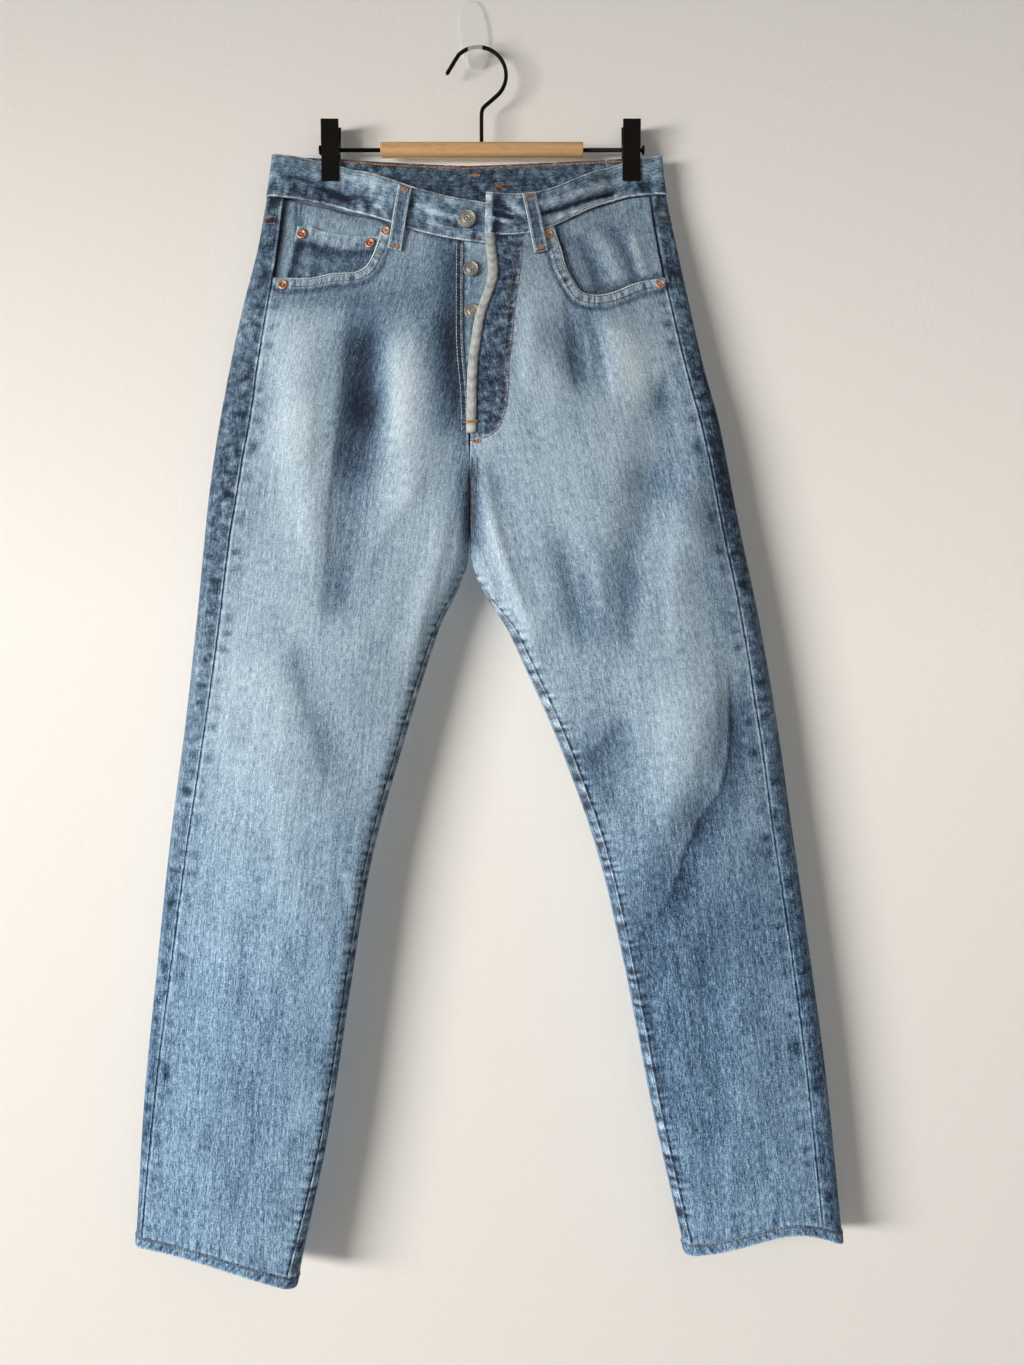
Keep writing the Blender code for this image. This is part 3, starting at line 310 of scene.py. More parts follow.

# Places of the front, the back and the waistband: x, z, reach in x and z, and change of tone.
# The paler places are worn thighs, hips and knees, and on fold ridges partly painted highlight;
# the darker ones on the front are painted shade in troughs, beside the fly, under the pocket
# mouths and down the left lower leg, which is turned from the light, over the darker dye of
# both lower legs.
FADES_AND_SHADE = {
    "right": (
        (-146, -420, 44, 90, 0.06),
        (-96, -352, 20, 70, -0.28),
        (-187, -650, 70, 110, 0.12),
        (-60, -460, 40, 130, 0.11),
        (-58, -343, 20, 66, 0.12),
        (-204, -284, 22, 34, 0.11),
        (-132, -505, 26, 50, 0.08),
        (-14, -290, 24, 105, -0.42),
        (-62, -262, 44, 46, -0.13),
        (-131, -264, 60, 12, -0.14),
        (-218, -960, 90, 90, -0.08),
        (-235, -1090, 90, 90, -0.07),
    ),
    "left": (
        (104, -305, 28, 44, -0.14),
        (146, -322, 26, 44, 0.10),
        (90, -420, 80, 90, 0.08),
        (158, -412, 22, 80, 0.15),
        (64, -322, 18, 44, 0.07),
        (194, -458, 16, 56, -0.16),
        (240, -700, 12, 54, -0.10),
        (112, -560, 36, 40, -0.08),
        (226, -440, 20, 110, -0.20),
        (192, -640, 40, 60, 0.01),
        (120, -700, 46, 60, -0.21),
        (205, -850, 90, 90, -0.22),
        (215, -980, 90, 90, -0.16),
        (230, -1090, 110, 80, -0.08),
        (262, -740, 26, 90, -0.06),
    ),
}
BACK_FADES = {
    "right": (
        (-105, -420, 70, 120, 0.14),
        (-190, -700, 60, 140, 0.06),
        (-235, -1080, 90, 130, -0.10),
    ),
    "left": (
        (105, -420, 70, 120, 0.14),
        (200, -700, 60, 140, 0.06),
        (250, -1080, 90, 130, -0.10),
    ),
}
# Darker places of the waistband: a patch below the right clip, and the painted shadow that the left
# clip casts to its right.
BAND_DARK_PLACES = {
    "right": (
        (-150, -168, 32, 18, -0.20),
    ),
    "left": (
        (162, -156, 14, 14, -0.24),
    ),
}
# Tone per unit of fold height: paler ridges, partly worn and partly painted highlight, and darker
# troughs, painted shade.
FOLD_WEAR_AND_SHADE = 0.027

# Small creases, in the columns of FOLDS, of the waistband, its buttonhole and the front pockets.
BAND_CREASES = {
    "right": (
        (-176, -143, -150, -150, 2.2, -1.4),
        (-168, -148, -132, -153, 2, 1.2),
        (-146, -152, -96, -172, 4, -1.8),
        (-112, -166, -84, -178, 2.4, 1.3),
        (-134, -160, -118, -164, 2.4, -1.5),
        (-122, -140, -74, -160, 8, 0.9),
        (-50, -180, -30, -186, 6, 1.6),
        (-46, -186, -20, -194, 2, -1.4),
        (-40, -194, -14, -204, 2.5, 1.0),
        (-60, -176, -44, -184, 3, -1.2),
    ),
    "left": (
        (22.5, -180, 22.0, -206, 2.5, -1.3),
        (29, -178, 46, -188, 4, 1.6),
        (30, -186, 48, -196, 3, -1.4),
        (27, -201, 45, -206, 3, 0.9),
        (20, -195, 33, -200, 1.6, 2.2),
        (22, -198, 36, -203, 1.4, -2.0),
    ),
}
# Tone per unit of waistband crease height: painted shade in the grooves and painted highlight on
# the ridges.
BAND_CREASE_SHADING = {"right": 0.22, "left": 0.18}
BUTTONHOLE_SLOT = ((22, -190, 36, -193.5, 2.2, 1.0),)
BUTTONHOLE_RIM = ((21, -186.6, 37, -190.0, 1.1, 1.0), (21, -194.0, 36, -197.4, 1.1, 1.0))
FACING_FOLDS = {
    "right": (
        (-150, -214, -150, -240, 4, -0.9),
        (-120, -214, -116, -236, 5, 0.8),
    ),
    "left": (
        (118, -205, 134, -240, 6, 1.3),
        (134, -196, 152, -238, 5, -1.1),
        (100, -210, 120, -252, 7, -1.3),
        (150, -205, 160, -236, 5, 1.0),
    ),
}
COIN_FOLDS = ((-152, -212, -153, -238, 3, 0.8), (-146, -214, -148, -238, 3, -0.6))

# Dark lines down the right pocket facing, as x and width.
FACING_LINES = ((-166.5, 1.5), (-162.0, 1.2))

# Openings of the front pockets, as (x, z) from the waist end to the side seam.
POCKET_MOUTH = {
    "right": ((-86.7, -204.5), (-88.0, -211.2), (-92.3, -223.5), (-98.7, -234.3),
              (-108.0, -239.3), (-130.2, -240.2), (-151.5, -243.9), (-174.1, -243.9)),
    "left": ((75.9, -203.1), (80.0, -216.9), (85.7, -238.1), (94.3, -253.8),
             (101.2, -261.5), (115.5, -263.0), (129.3, -259.3), (150.5, -249.5), (170.3, -243.6)),
}
COIN_POCKET_MOUTH = ((-164.5, -190.8), (-151.8, -191.4), (-138.9, -196.6), (-111.1, -202.0),
                     (-84.0, -204.0))

# Outer row of the fly's curved stitching, as (x, z) from the waist to the seam.
J_STITCH = ((45.0, -213.0), (45.0, -232.0), (41.5, -257.0), (38.6, -281.0), (36.3, -306.0),
            (33.5, -330.0), (32.8, -354.0), (30.3, -370.5), (23.8, -387.0), (12.4, -395.4),
            (-6.0, -398.6))

# Short tacks on the inside of the back waistband, as (x, z) from end to end.
INSIDE_TACKS = (((-4.0, -139.5), (5.5, -139.0)), ((17.0, -151.0), (36.0, -147.0)),
                ((21.0, -147.0), (29.0, -152.5)))

# Tacks at the end of the fly, as distance below the first, half length and lift.
FLY_TACK_AT = (-1.0, -381.5)
FLY_TACKS = ((0.0, 6.0, 2.8), (18.0, 3.4, 0.6))

# Section through the fly facing: (distance in from the fly's edge, height over the front).
ROLL_WIDTH = 9.2
FLY_ROLL = ((37.0, -2.6), (25.0, -2.6), (14.0, -2.6), (7.0, -2.6), (3.2, -2.4), (1.3, -1.5),
            (0.6, 0.0), (1.2, 1.5), (3.0, 2.5), (5.2, 2.7), (7.4, 2.2), (9.2, 1.2))

# Rows of stitching, by how far they run from their seam or edge; the waistband's are levels.
STITCH_ROWS = {
    "mouth": (1.6, 8.2),
    "band": (-35.2, -1.9),
    "inseam": (1.8, 7.2),
    "yoke": (2.0, 8.0),
    "seat": (2.2, 8.4),
    "fly_curve": (0.0, 5.4),
    "fly_end": (2.4, 7.6),
    "fly_edge": (2.2, 6.4),
    "back_pocket": (2.2, 7.8),
    "back_pocket_top": (13.0, 15.5),
}
INSIDE_BAND_LEVEL = -34.4

# Belt loops: (name, side, layer, top middle x z, bottom middle x z).
LOOPS = (
    ("belt_loop_front_right", "right", "front", (-62.0, -160.5), (-71.6, -219.8)),
    ("belt_loop_front_left", "left", "front", (51.2, -171.5), (62.6, -226.2)),
    ("belt_loop_back_right", "right", "back", (-102.0, -129.0), (-104.0, -187.0)),
    ("belt_loop_back_centre", "right", "back", (-15.5, -131.5), (-15.5, -191.0)),
    ("belt_loop_back_left", "left", "back", (90.0, -129.0), (92.0, -187.0)),
)


def smooth(u):
    """Smooth step from 0 to 1."""
    u = np.clip(u, 0.0, 1.0)
    return u * u * (3.0 - 2.0 * u)


def bell(distance, reach):
    """Bell-shaped weight, 1 at no distance and small past the reach."""
    return np.exp(-(distance / reach) ** 2)


def hermite(at, knots, values):
    """Smooth curve through (knots, values) that never overshoots them."""
    at = np.asarray(at, float)
    rates = np.diff(values) / np.diff(knots)
    before, after = rates[:-1], rates[1:]
    same_way = before * after > 0
    middle = np.where(same_way, 2 * before * after / np.where(same_way, before + after, 1), 0)
    slopes = np.concatenate([rates[:1], middle, rates[-1:]])
    i = np.clip(np.searchsorted(knots, at, side="right") - 1, 0, len(knots) - 2)
    span = knots[i + 1] - knots[i]
    t = (at - knots[i]) / span
    t2 = t * t
    t3 = t2 * t
    return ((2 * t3 - 3 * t2 + 1) * values[i] + (t3 - 2 * t2 + t) * span * slopes[i]
            + (3 * t2 - 2 * t3) * values[i + 1] + (t3 - t2) * span * slopes[i + 1])


def curve(points, step):
    """Points of a smooth curve through the given ones, about a step apart."""
    points = np.array(points, float)
    along = np.concatenate([[0], np.cumsum(np.linalg.norm(np.diff(points, axis=0), axis=1))])
    at = np.linspace(0, along[-1], max(2, int(round(along[-1] / step)) + 1))
    before = np.vstack([points[0] * 2 - points[1], points[:-1]])
    after = np.vstack([points[1:], points[-1] * 2 - points[-2]])
    spans = np.concatenate([[along[1]], np.diff(along), [along[-1] - along[-2]]])
    slopes = (after - before) / (spans[:-1] + spans[1:])[:, None]
    i = np.clip(np.searchsorted(along, at, side="right") - 1, 0, len(along) - 2)
    span = (along[i + 1] - along[i])[:, None]
    t = ((at - along[i]) / span[:, 0])[:, None]
    return ((2 * t ** 3 - 3 * t ** 2 + 1) * points[i] + (t ** 3 - 2 * t ** 2 + t) * span * slopes[i]
            + (3 * t ** 2 - 2 * t ** 3) * points[i + 1] + (t ** 3 - t ** 2) * span * slopes[i + 1])


J_CURVE = curve(J_STITCH, 6.0)


def from_path(path, x, z, reach):
    """Distance from a path of (x, z) points, its sign (positive on the path's left side as it
    runs), and the way along the path to the nearest place.  Places further than reach from the
    rectangle round the path are only marked as far away."""
    path, x, z = (np.asarray(values, float) for values in (path, x, z))
    low, high = path.min(axis=0) - reach, path.max(axis=0) + reach
    near = (x > low[0]) & (x < high[0]) & (z > low[1]) & (z < high[1])
    step_x, step_z = np.diff(path, axis=0).T
    length = np.hypot(step_x, step_z)
    from_x = x[near][:, None] - path[:-1, 0]
    from_z = z[near][:, None] - path[:-1, 1]
    t = np.clip((from_x * step_x + from_z * step_z) / length ** 2, 0, 1)
    away_x, away_z = from_x - t * step_x, from_z - t * step_z
    distance = np.hypot(away_x, away_z)
    nearest = distance.argmin(axis=1)
    pick = np.arange(len(nearest)), nearest
    away, side, along = np.full(x.shape, 1e6), np.ones(x.shape), np.zeros(x.shape)
    away[near] = distance[pick]
    side[near] = np.sign((step_x * away_z - step_z * away_x)[pick])
    along[near] = (np.cumsum(length) - length)[nearest] + (t * length)[pick]
    return away, side, along


def pucker(along, period, seed):
    """Uneven wave along a seam, from -1 to 1."""
    turn = 2 * math.pi * along / period
    phase = turn + 1.5 * np.sin(turn * 0.31 + seed) + 0.8 * np.sin(turn * 0.13 + 2.3 * seed)
    return np.sin(phase) * (0.65 + 0.35 * np.sin(turn * 0.23 + 3.1 * seed))


def blotches(along, period, seed):
    """Uneven row of soft dots along a seam, from 0 to 1."""
    return np.clip(pucker(along, period, seed), 0, 1) ** 2


def folds(rows, x, z):
    """Height of a table of soft folds at (x, z)."""
    total = np.zeros_like(x)
    for x0, z0, x1, z1, width, height in rows:
        run = np.array([x1 - x0, z1 - z0], float)
        t = np.clip(((x - x0) * run[0] + (z - z0) * run[1]) / (run @ run), 0, 1)
        away = np.hypot(x - x0 - t * run[0], z - z0 - t * run[1])
        total = total + height * bell(away, width)
    return total


def places(rows, x, z):
    """Tone that a table of paler and darker places gives at (x, z); on the front and waistband some
    darker ones are painted shade.
    """
    total = np.zeros_like(x)
    for at_x, at_z, reach_x, reach_z, change in rows:
        away = ((x - at_x) / reach_x) ** 2 + ((z - at_z) / reach_z) ** 2
        total = total + change * np.exp(-away)
    return total


class Marks:
    """Height, tone and mottling that seams, puckers and creases add up to on a piece."""

    def __init__(self, like, wear=0.0):
        self.height = np.zeros_like(like)
        self.tone = np.zeros_like(like)
        self.wear = np.full_like(like, wear)

    def add(self, weight, height=0.0, tone=0.0, wear=0.0):
        """Add a mark by its weight and what it changes where the weight is 1."""
        self.height = self.height + weight * height
        self.tone = self.tone + weight * tone
        self.wear = self.wear + weight * wear


class Half:
    """One leg with its half of the hips and waistband, as a form to take points from."""

    def __init__(self, side):
        self.side = side
        self.sign = 1.0 if side == "left" else -1.0
        edges = np.array(list(EDGES[side].values()), float)
        shape = np.array(list(SHAPE[side].values()), float)
        self.knots = edges[:, 0]
        self.columns = dict(zip(EDGE_COLUMNS.split(), edges.T))
        self.columns.update(zip(SHAPE_COLUMNS.split(), shape.T))
        self.mouth = curve(POCKET_MOUTH[side], 4.0)
        self.creased = [(curve(path, 14.0), *rest) for path, *rest in CREASES[side]]

    def value(self, name, down):
        """The named column at a level."""
        return hermite(down, self.knots, self.columns[name])

    def length(self, down, layer="front"):
        """Way along the cloth from the outer edge to the layer's inner end."""
        inner = "in_x" if layer == "front" else "back_x"
        width = np.abs(self.value(inner, down) - self.value("out_x", down))
        return width + (math.pi / 2 - 1) * (self.value("out_r", down) + self.value("in_r", down))

    def wrapped(self, down, s):
        """The same places with s inside the two layers, where the leg is closed."""
        front_length = self.length(down)
        back_length = self.length(down, "back")
        around = np.where(self.value("in_r", down) > 10.0, front_length + back_length, 0.0)
        s = np.where(s < -back_length, s + around, s)
        return np.where(s > front_length, s - around, s)

    def point(self, down, s):
        """Points (x, y, z), in millimetres, on the outside of the cloth."""
        down, s = np.broadcast_arrays(np.asarray(down, float), np.asarray(s, float))
        s = self.wrapped(down, s)
        front = s >= 0
        run = np.abs(s)
        total = np.where(front, self.length(down), self.length(down, "back"))
        inner_x = np.where(front, self.value("in_x", down), self.value("back_x", down))
        inner_d = np.where(front, self.value("in_d", down), self.value("back_d", down))
        inner_z = np.where(front, self.value("in_z", down), self.value("back_z", down))
        belly = np.where(front, self.value("front", down), -self.value("back", down))
        out_x = self.value("out_x", down)
        out_r = self.value("out_r", down)
        in_r = self.value("in_r", down)
        width = np.abs(inner_x - out_x)

        outer_turn = np.clip(run / out_r, 0.0, math.pi / 2)
        past_end = np.where(in_r > 2.0, -0.5, 0.0)
        inner_turn = np.clip((total - run) / np.maximum(in_r, 0.01), past_end, math.pi / 2)
        flat = width - out_r - in_r
        along = np.clip(run - out_r * math.pi / 2, 0.0, flat)
        across = out_r * (1 - np.cos(outer_turn)) + along
        across = across + in_r * np.cos(inner_turn)
        across = np.where((run > total) & (in_r <= 2.0), width + run - total, across)
        rise = (out_r + (in_r - out_r) * smooth(along / flat)) * np.sin(outer_turn)
        rise = rise * np.sin(inner_turn)

        u = across / width
        z = self.value("out_z", down) * (1 - u) + inner_z * u
        wave = self.value("lift", down) * np.sin(math.pi * u)
        wave = wave + self.value("sway", down) * np.sin(2 * math.pi * u)
        z = z + np.where(front, wave, 0.0)
        x = out_x - self.sign * across
        d = self.value("out_d", down) * (1 - smooth(u)) + inner_d * smooth(u)
        d = d + np.where(front, rise, -rise) + belly * np.sin(math.pi * np.clip(u, 0, 1))
        d = self.pinch(d, x, down, front)
        turned_in = np.sin(outer_turn) * np.sin(inner_turn)
        front_folds = folds(FOLDS[self.side], x, z) + self.creases(x, z)[0]
        back_folds = folds(BACK_FOLDS[self.side], x, z)
        d = d + np.where(front, front_folds, -back_folds) * turned_in
        return np.stack([x, -d, z], axis=-1)

    def pinch(self, d, x, down, front):
        """Bring both layers together between the clip's jaws."""
        reach = bell(x - CLIP_X[self.side], PINCH_REACH)
        start, end = PINCH_DOWN
        weight = np.clip(1.7 * reach, 0, 1) * (1 - smooth((down - start) / (end - start)))
        return d + weight * (np.where(front, PINCH_FRONT_D, PINCH_BACK_D) - d)

    def creases(self, x, z):
        """Height and tone of all the creases at (x, z); the tone is painted shade along troughs and
        painted highlight along ridges.
        """
        height, tone = np.zeros_like(x), np.zeros_like(x)
        for path, left, right, rise, change in self.creased:
            length = np.linalg.norm(np.diff(path, axis=0), axis=1).sum()
            away, turn, along = from_path(path, x, z, 2.4 * max(left, right))
            reach = np.where(turn > 0, right, left)
            ends = smooth(along / length * 4.0) * smooth((1.0 - along / length) * 4.0)
            weight = ends * bell(away, reach)
            height, tone = height + rise * weight, tone + change * weight
        return height, tone

    def normal(self, down, s, step=0.6):
        """Outward unit normals."""
        along = self.point(down, s + step) - self.point(down, s - step)
        below = self.point(down + step, s) - self.point(down - step, s)
        normal = np.cross(along, below) * self.sign
        return normal / np.linalg.norm(normal, axis=-1, keepdims=True)

    def locate(self, x, z, layer="front"):
        """Level and s of the point of a layer at (x, z), by Newton's method."""
        down = np.array(-z - 165.0)
        width = self.length(down, layer)
        s = np.clip(abs(self.value("out_x", down) - x), 5.0, width - 2.0)
        s = s if layer == "front" else -s
        for _ in range(14):
            here = self.point(down, s)
            by_down = self.point(down + 0.5, s) - here
            by_s = self.point(down, s + 0.5) - here
            grid = np.array([[by_down[0], by_s[0]], [by_down[2], by_s[2]]]) * 2.0
            step = np.linalg.solve(grid, [x - here[0], z - here[2]])
            down = down + np.clip(step[0], -20, 20)
            s = s + np.clip(step[1], -20, 20)
        return float(down), float(s)

    def seam_marks(self, down, s, x, z):
        """Marks of the seams and their puckers on the panels, with painted highlight and painted
        shade along some of them.
        """
        s = self.wrapped(down, s)
        marks = Marks(x, 0.16)
        self.mark_side_seam(marks, down, s)
        self.mark_inseam(marks, down, s)
        self.mark_waist_and_hem(marks, down, s)
        self.mark_mouth(marks, down, s, x, z)
        self.mark_fly(marks, down, s, x, z)
        marks.wear = np.clip(marks.wear, 0, 1.2)
        return marks

    def mark_side_seam(self, marks, down, s):
        """Puckers, the pale ridges of the seam, partly worn and partly painted highlight, its dark
        groove, which is painted shade, and the strip of the back that shows beside it, which is
        darker towards the waist."""
        side = s - self.value("seam", down)
        below_mouth = smooth((down - 60.0) / 40.0)
        marks.add(pucker(down, 11.0, 1.0) * bell(side, 8.0), 0.4 * below_mouth, 0.05)
        for number, offset in enumerate((8.0, -8.5)):
            dots = np.clip(pucker(down, 22.0, 2.0 + number) - 0.15, 0, 1)
            marks.add(dots * bell(side - offset, 4.6), -0.3, -0.34)
        strip = smooth((s + 26.0) / 22.0) * smooth((1.0 - side) / 2.0)
        upper = 1.0 - smooth((down - 250.0) / 300.0)
        marks.add(strip, 0.0, -0.14 - 0.13 * upper, 0.35 + 0.40 * upper)
        marks.add(strip * bell(s + 2.0, 4.0), tone=0.16)
        marks.add(bell(side, 13.0), tone=-0.07)
        marks.add(bell(side, 12.0), wear=0.30)
        marks.add(bell(side + 1.4, 0.8), tone=0.34)
        marks.add(bell(side - 1.8, 0.8), tone=0.26)
        marks.add(bell(side - 0.3, 0.7), tone=-0.42)
        marks.add(smooth((0.4 - side) / 0.6) * smooth((side + 11.0) / 3.0), 0.35)

    def mark_inseam(self, marks, down, s):
        """Puckers on both sides of the inseam, where the leg is closed, with a pale line on the
        seam's edge and the leg's inner fold, partly worn and partly painted highlight, and a dark
        line beside it, painted shade.
        """
        inseam = self.length(down) - self.value("inset", down) - s
        legs = (self.value("in_r", down) > 10.0) & (s >= 0)
        wave = legs * pucker(down, 6.4, 3.0)
        marks.add(wave * bell(inseam + 4.0, 6.0), 0.45, 0.40)
        marks.add(wave * bell(inseam - 4.0, 5.0), 0.35, 0.16)
        marks.add(legs * bell(inseam + 1.0, 0.9), tone=0.36)
        marks.add(legs * bell(inseam - 0.9, 1.0), tone=-0.42)
        marks.add(legs * bell(inseam + 6.0, 5.0), tone=-0.12)
        marks.add(legs * bell(self.length(down) - s, 2.2), tone=0.40)
        marks.add(legs * bell(inseam + 4.0, 8.0), wear=0.5)

    def mark_waist_and_hem(self, marks, down, s):
        """Puckers below the waistband and above the hem, and a dark line right under the waistband,
        the painted shadow of its edge.
        """
        marks.add(pucker(s, 10.0, 4.0) * bell(down, 6.0), 0.35, 0.14)
        marks.add(bell(down - 1.0, 1.8), tone=-0.30)
        above = HEM_TOP - down
        marks.add(pucker(s, 8.0, 5.0) * bell(above, 7.0), 0.45, 0.14)
        marks.add(np.clip(pucker(s, 13.0, 6.0), 0, 1) * bell(above - 5.0, 5.0), tone=-0.20)
        marks.add(bell(above - 1.0, 1.5), tone=0.14)

    def mark_mouth(self, marks, down, s, x, z):
        """The front pocket's pale, puckered edge, raised by its hem, with a shade below it."""
        away, _, along = from_path(self.mouth, x, z, 25.0)
        shown = (s >= 0) & (down > -1) & (s - self.value("seam", down) > -6)
        marks.add(shown * pucker(along, 6.0, 7.0) * bell(away - 5.5, 3.6), 0.5, 0.32)
        marks.add(shown * smooth((10.6 - away) / 1.6), 1.0)
        marks.add(shown * bell(away, 1.5), tone=0.48)
        marks.add(shown * bell(away - 9.8, 0.9), tone=0.14)
        marks.add(shown * bell(away - 12.6, 2.4), tone=-0.30)
        marks.add(shown * bell(away - 5.0, 6.0), wear=0.3)

    def mark_fly(self, marks, down, s, x, z):
        """The dark raised placket inside the left front's curved stitching, or the right
        front's pale edge at the fly."""
        if self.side == "left":
            away, turn, along = from_path(J_CURVE, x, z, 25.0)
            inside = np.where(turn > 0, -away, away)
            shown = (s >= 0) & (down < 232)
            marks.add(shown * pucker(along, 7.0, 8.0) * bell(inside - 3.0, 5.0), 0.4, 0.20)
            marks.add(shown * (x < 60) * smooth((inside + 0.5) / 1.5), 0.8, -0.36, 1.1)
            marks.add(shown * bell(inside, 1.3), tone=0.20)
        else:
            edge = self.length(down) - self.value("inset", down) - s
            shown = (s >= 0) & (down < 215)
            marks.add(shown * pucker(down, 8.0, 10.0) * bell(edge - 4.0, 4.0), 0.3, 0.16)
            marks.add(shown * bell(edge - 0.6, 1.1), tone=0.40)
            marks.add(shown * bell(edge - 4.0, 2.0), tone=-0.16)

    def fade(self, x, z, front):
        """Tone that wear gives, with the painted shade and highlight of the folds, creases and
        shaded places.
        """
        side = self.side
        worn = places(FADES_AND_SHADE[side], x, z) + FOLD_WEAR_AND_SHADE * folds(FOLDS[side], x, z)
        behind = places(BACK_FADES[side], x, z) + FOLD_WEAR_AND_SHADE * folds(BACK_FOLDS[side], x, z)
        return np.where(front, worn + self.creases(x, z)[1], behind)

    def surface(self, down, s, lift=0.0):
        """Points and normals of the finished cloth, raised by lift."""
        down, s = np.broadcast_arrays(np.asarray(down, float), np.asarray(s, float))
        points = self.point(down, s)
        normals = self.normal(down, s)
        height = self.seam_marks(down, s, points[..., 0], points[..., 2]).height
        return points + normals * (height + lift)[..., None], normals


HALVES = {side: Half(side) for side in ("right", "left")}
STITCHES = {"brown": [], "orange": [], "pale": []}


# Materials.

class Graph:
    """A material's nodes, written as calls."""

    def __init__(self, name):
        self.material = bpy.data.materials.new(name)
        self.material.use_nodes = True
        self.tree = self.material.node_tree
        self.shader = self.tree.nodes["Principled BSDF"]

    def connect(self, node, inputs):
        """Set a node's inputs, by name or number, to constants or to sockets."""
        for key, value in inputs.items():
            if isinstance(value, bpy.types.NodeSocket):
                self.tree.links.new(value, node.inputs[key])
            else:
                node.inputs[key].default_value = value

    def node(self, kind, inputs=None, **settings):
        """New node with its settings and inputs."""
        made = self.tree.nodes.new("ShaderNode" + kind)
        for key, value in settings.items():
            setattr(made, key, value)
        self.connect(made, inputs or {})
        return made

    def math(self, operation, *values):
        """Result of a math node."""
        return self.node("Math", dict(enumerate(values)), operation=operation).outputs[0]

    def attribute(self, name, output="Fac"):
        """A mesh attribute, as a number or a vector."""
        return self.node("Attribute", attribute_name=name).outputs[output]

    def noise(self, vector, scale, detail=2.0, size=(1.0, 1.0, 1.0), roughness=0.5):
        """Noise at a scale, with the coordinate stretched by size first."""
        mapped = self.node("VectorMath", {0: vector, 1: size}, operation="DIVIDE").outputs[0]
        inputs = {"Vector": mapped, "Scale": scale, "Detail": detail, "Roughness": roughness}
        return self.node("TexNoise", inputs).outputs[0]

    def ramp(self, value, stops):
        """Colour ramp through (place, colour) stops."""
        made = self.node("ValToRGB", {0: value})
        elements = made.color_ramp.elements
        while len(elements) < len(stops):
            elements.new(0.5)
        for element, (place, colour) in zip(elements, stops):
            element.position = place
            element.color = (*colour, 1.0)
        return made.outputs[0]

    def finish(self, colour, roughness, height=None, bump=0.0, **values):
        """Connect the shader: its colour and roughness may be sockets, the rest are constants."""
        self.connect(self.shader, {"Base Color": colour, "Roughness": roughness})
        if height is not None:
            inputs = {"Height": height, "Distance": bump * MM, "Strength": 1.0}
            self.connect(self.shader, {"Normal": self.node("Bump", inputs).outputs[0]})
        self.connect(self.shader, {key.replace("_", " "): values[key] for key in values})
        return self.material


DENIM_TONES = (
    (0.00, (0.010, 0.017, 0.032)),
    (0.20, (0.036, 0.061, 0.100)),
    (0.42, (0.112, 0.174, 0.250)),
    (0.62, (0.248, 0.336, 0.418)),
    (0.80, (0.385, 0.494, 0.588)),
    (1.00, (0.590, 0.685, 0.745)),
)
ROLL_TONES = (
    (0.00, (0.035, 0.045, 0.060)),
    (0.45, (0.170, 0.190, 0.200)),
    (1.00, (0.560, 0.575, 0.555)),
)
LOW_LEG_TINT = (0.87, 1.0, 1.12, 1.0)


def denim_material(name, stops, grain):
    """Washed denim: warp threads as uneven streaks and specks over a mottled tone that holds wear
    and painted shade and highlight.
    """
    graph = Graph(name)
    weave = graph.attribute("weave", "Vector")
    wear = graph.attribute("wear")
    streaks = graph.noise(weave, 1.0, 2.0, (1.3, 6.5, 1.0))
    specks = graph.noise(weave, 1.0, 1.0, (1.0, 1.7, 1.0))
    clouds = graph.noise(weave, 1.0, 3.0, (26.0, 60.0, 1.0))
    long_streaks = graph.noise(weave, 1.0, 2.0, (3.0, 46.0, 1.0))
    blots = graph.noise(weave, 1.0, 2.5, (9.0, 8.0, 1.0), 0.65)
    value = graph.attribute("tone")
    low = graph.math("MULTIPLY_ADD", graph.attribute("tint"), 0.5, 1.0)
    for pattern, amount in ((streaks, 0.66 * grain), (specks, 0.56 * grain), (clouds, 0.24),
                            (long_streaks, 0.36)):
        centred = graph.math("MULTIPLY", graph.math("SUBTRACT", pattern, 0.5), low)
        value = graph.math("MULTIPLY_ADD", centred, amount, value)
    blot = graph.math("MULTIPLY", graph.math("SUBTRACT", blots, 0.5), wear)
    value = graph.math("MULTIPLY_ADD", blot, 1.1, value)
    colour = graph.ramp(value, stops)
    tint = graph.node("Mix", {0: graph.attribute("tint"), 6: colour, 7: LOW_LEG_TINT},
                      data_type="RGBA", blend_type="MULTIPLY").outputs[2]
    height = graph.math("MULTIPLY_ADD", specks, 0.6, graph.math("MULTIPLY", streaks, 0.6))
    return graph.finish(tint, 0.9, height, 0.45 * grain, Sheen_Weight=0.10,
                        Sheen_Roughness=0.5, Specular_IOR_Level=0.15)


def thread_material(name, dark, light):
    """Sewing thread that has faded unevenly, stitch by stitch."""
    graph = Graph(name)
    worn = graph.attribute("worn")
    place = graph.node("TexCoord").outputs["Object"]
    twist = graph.noise(place, 900.0, 1.0)
    mixed = graph.math("MULTIPLY_ADD", graph.math("SUBTRACT", twist, 0.5), 0.4, worn)
    colour = graph.ramp(mixed, ((0.0, dark), (1.0, light)))
    return graph.finish(colour, 0.7, twist, 0.15, Specular_IOR_Level=0.3)


def metal_material(name, base, tarnish, roughness, scale=600.0, metallic=1.0, bump=0.03,
                   specular=0.5):
    """Worn metal, with tarnish in uneven patches."""
    graph = Graph(name)
    place = graph.node("TexCoord").outputs["Object"]
    patches = graph.noise(place, scale, 3.0)
    colour = graph.ramp(patches, ((0.3, tarnish), (0.7, base)))
    rough = graph.math("MULTIPLY_ADD", patches, 0.25, roughness)
    return graph.finish(colour, rough, patches, bump, Metallic=metallic,
                        Specular_IOR_Level=specular)


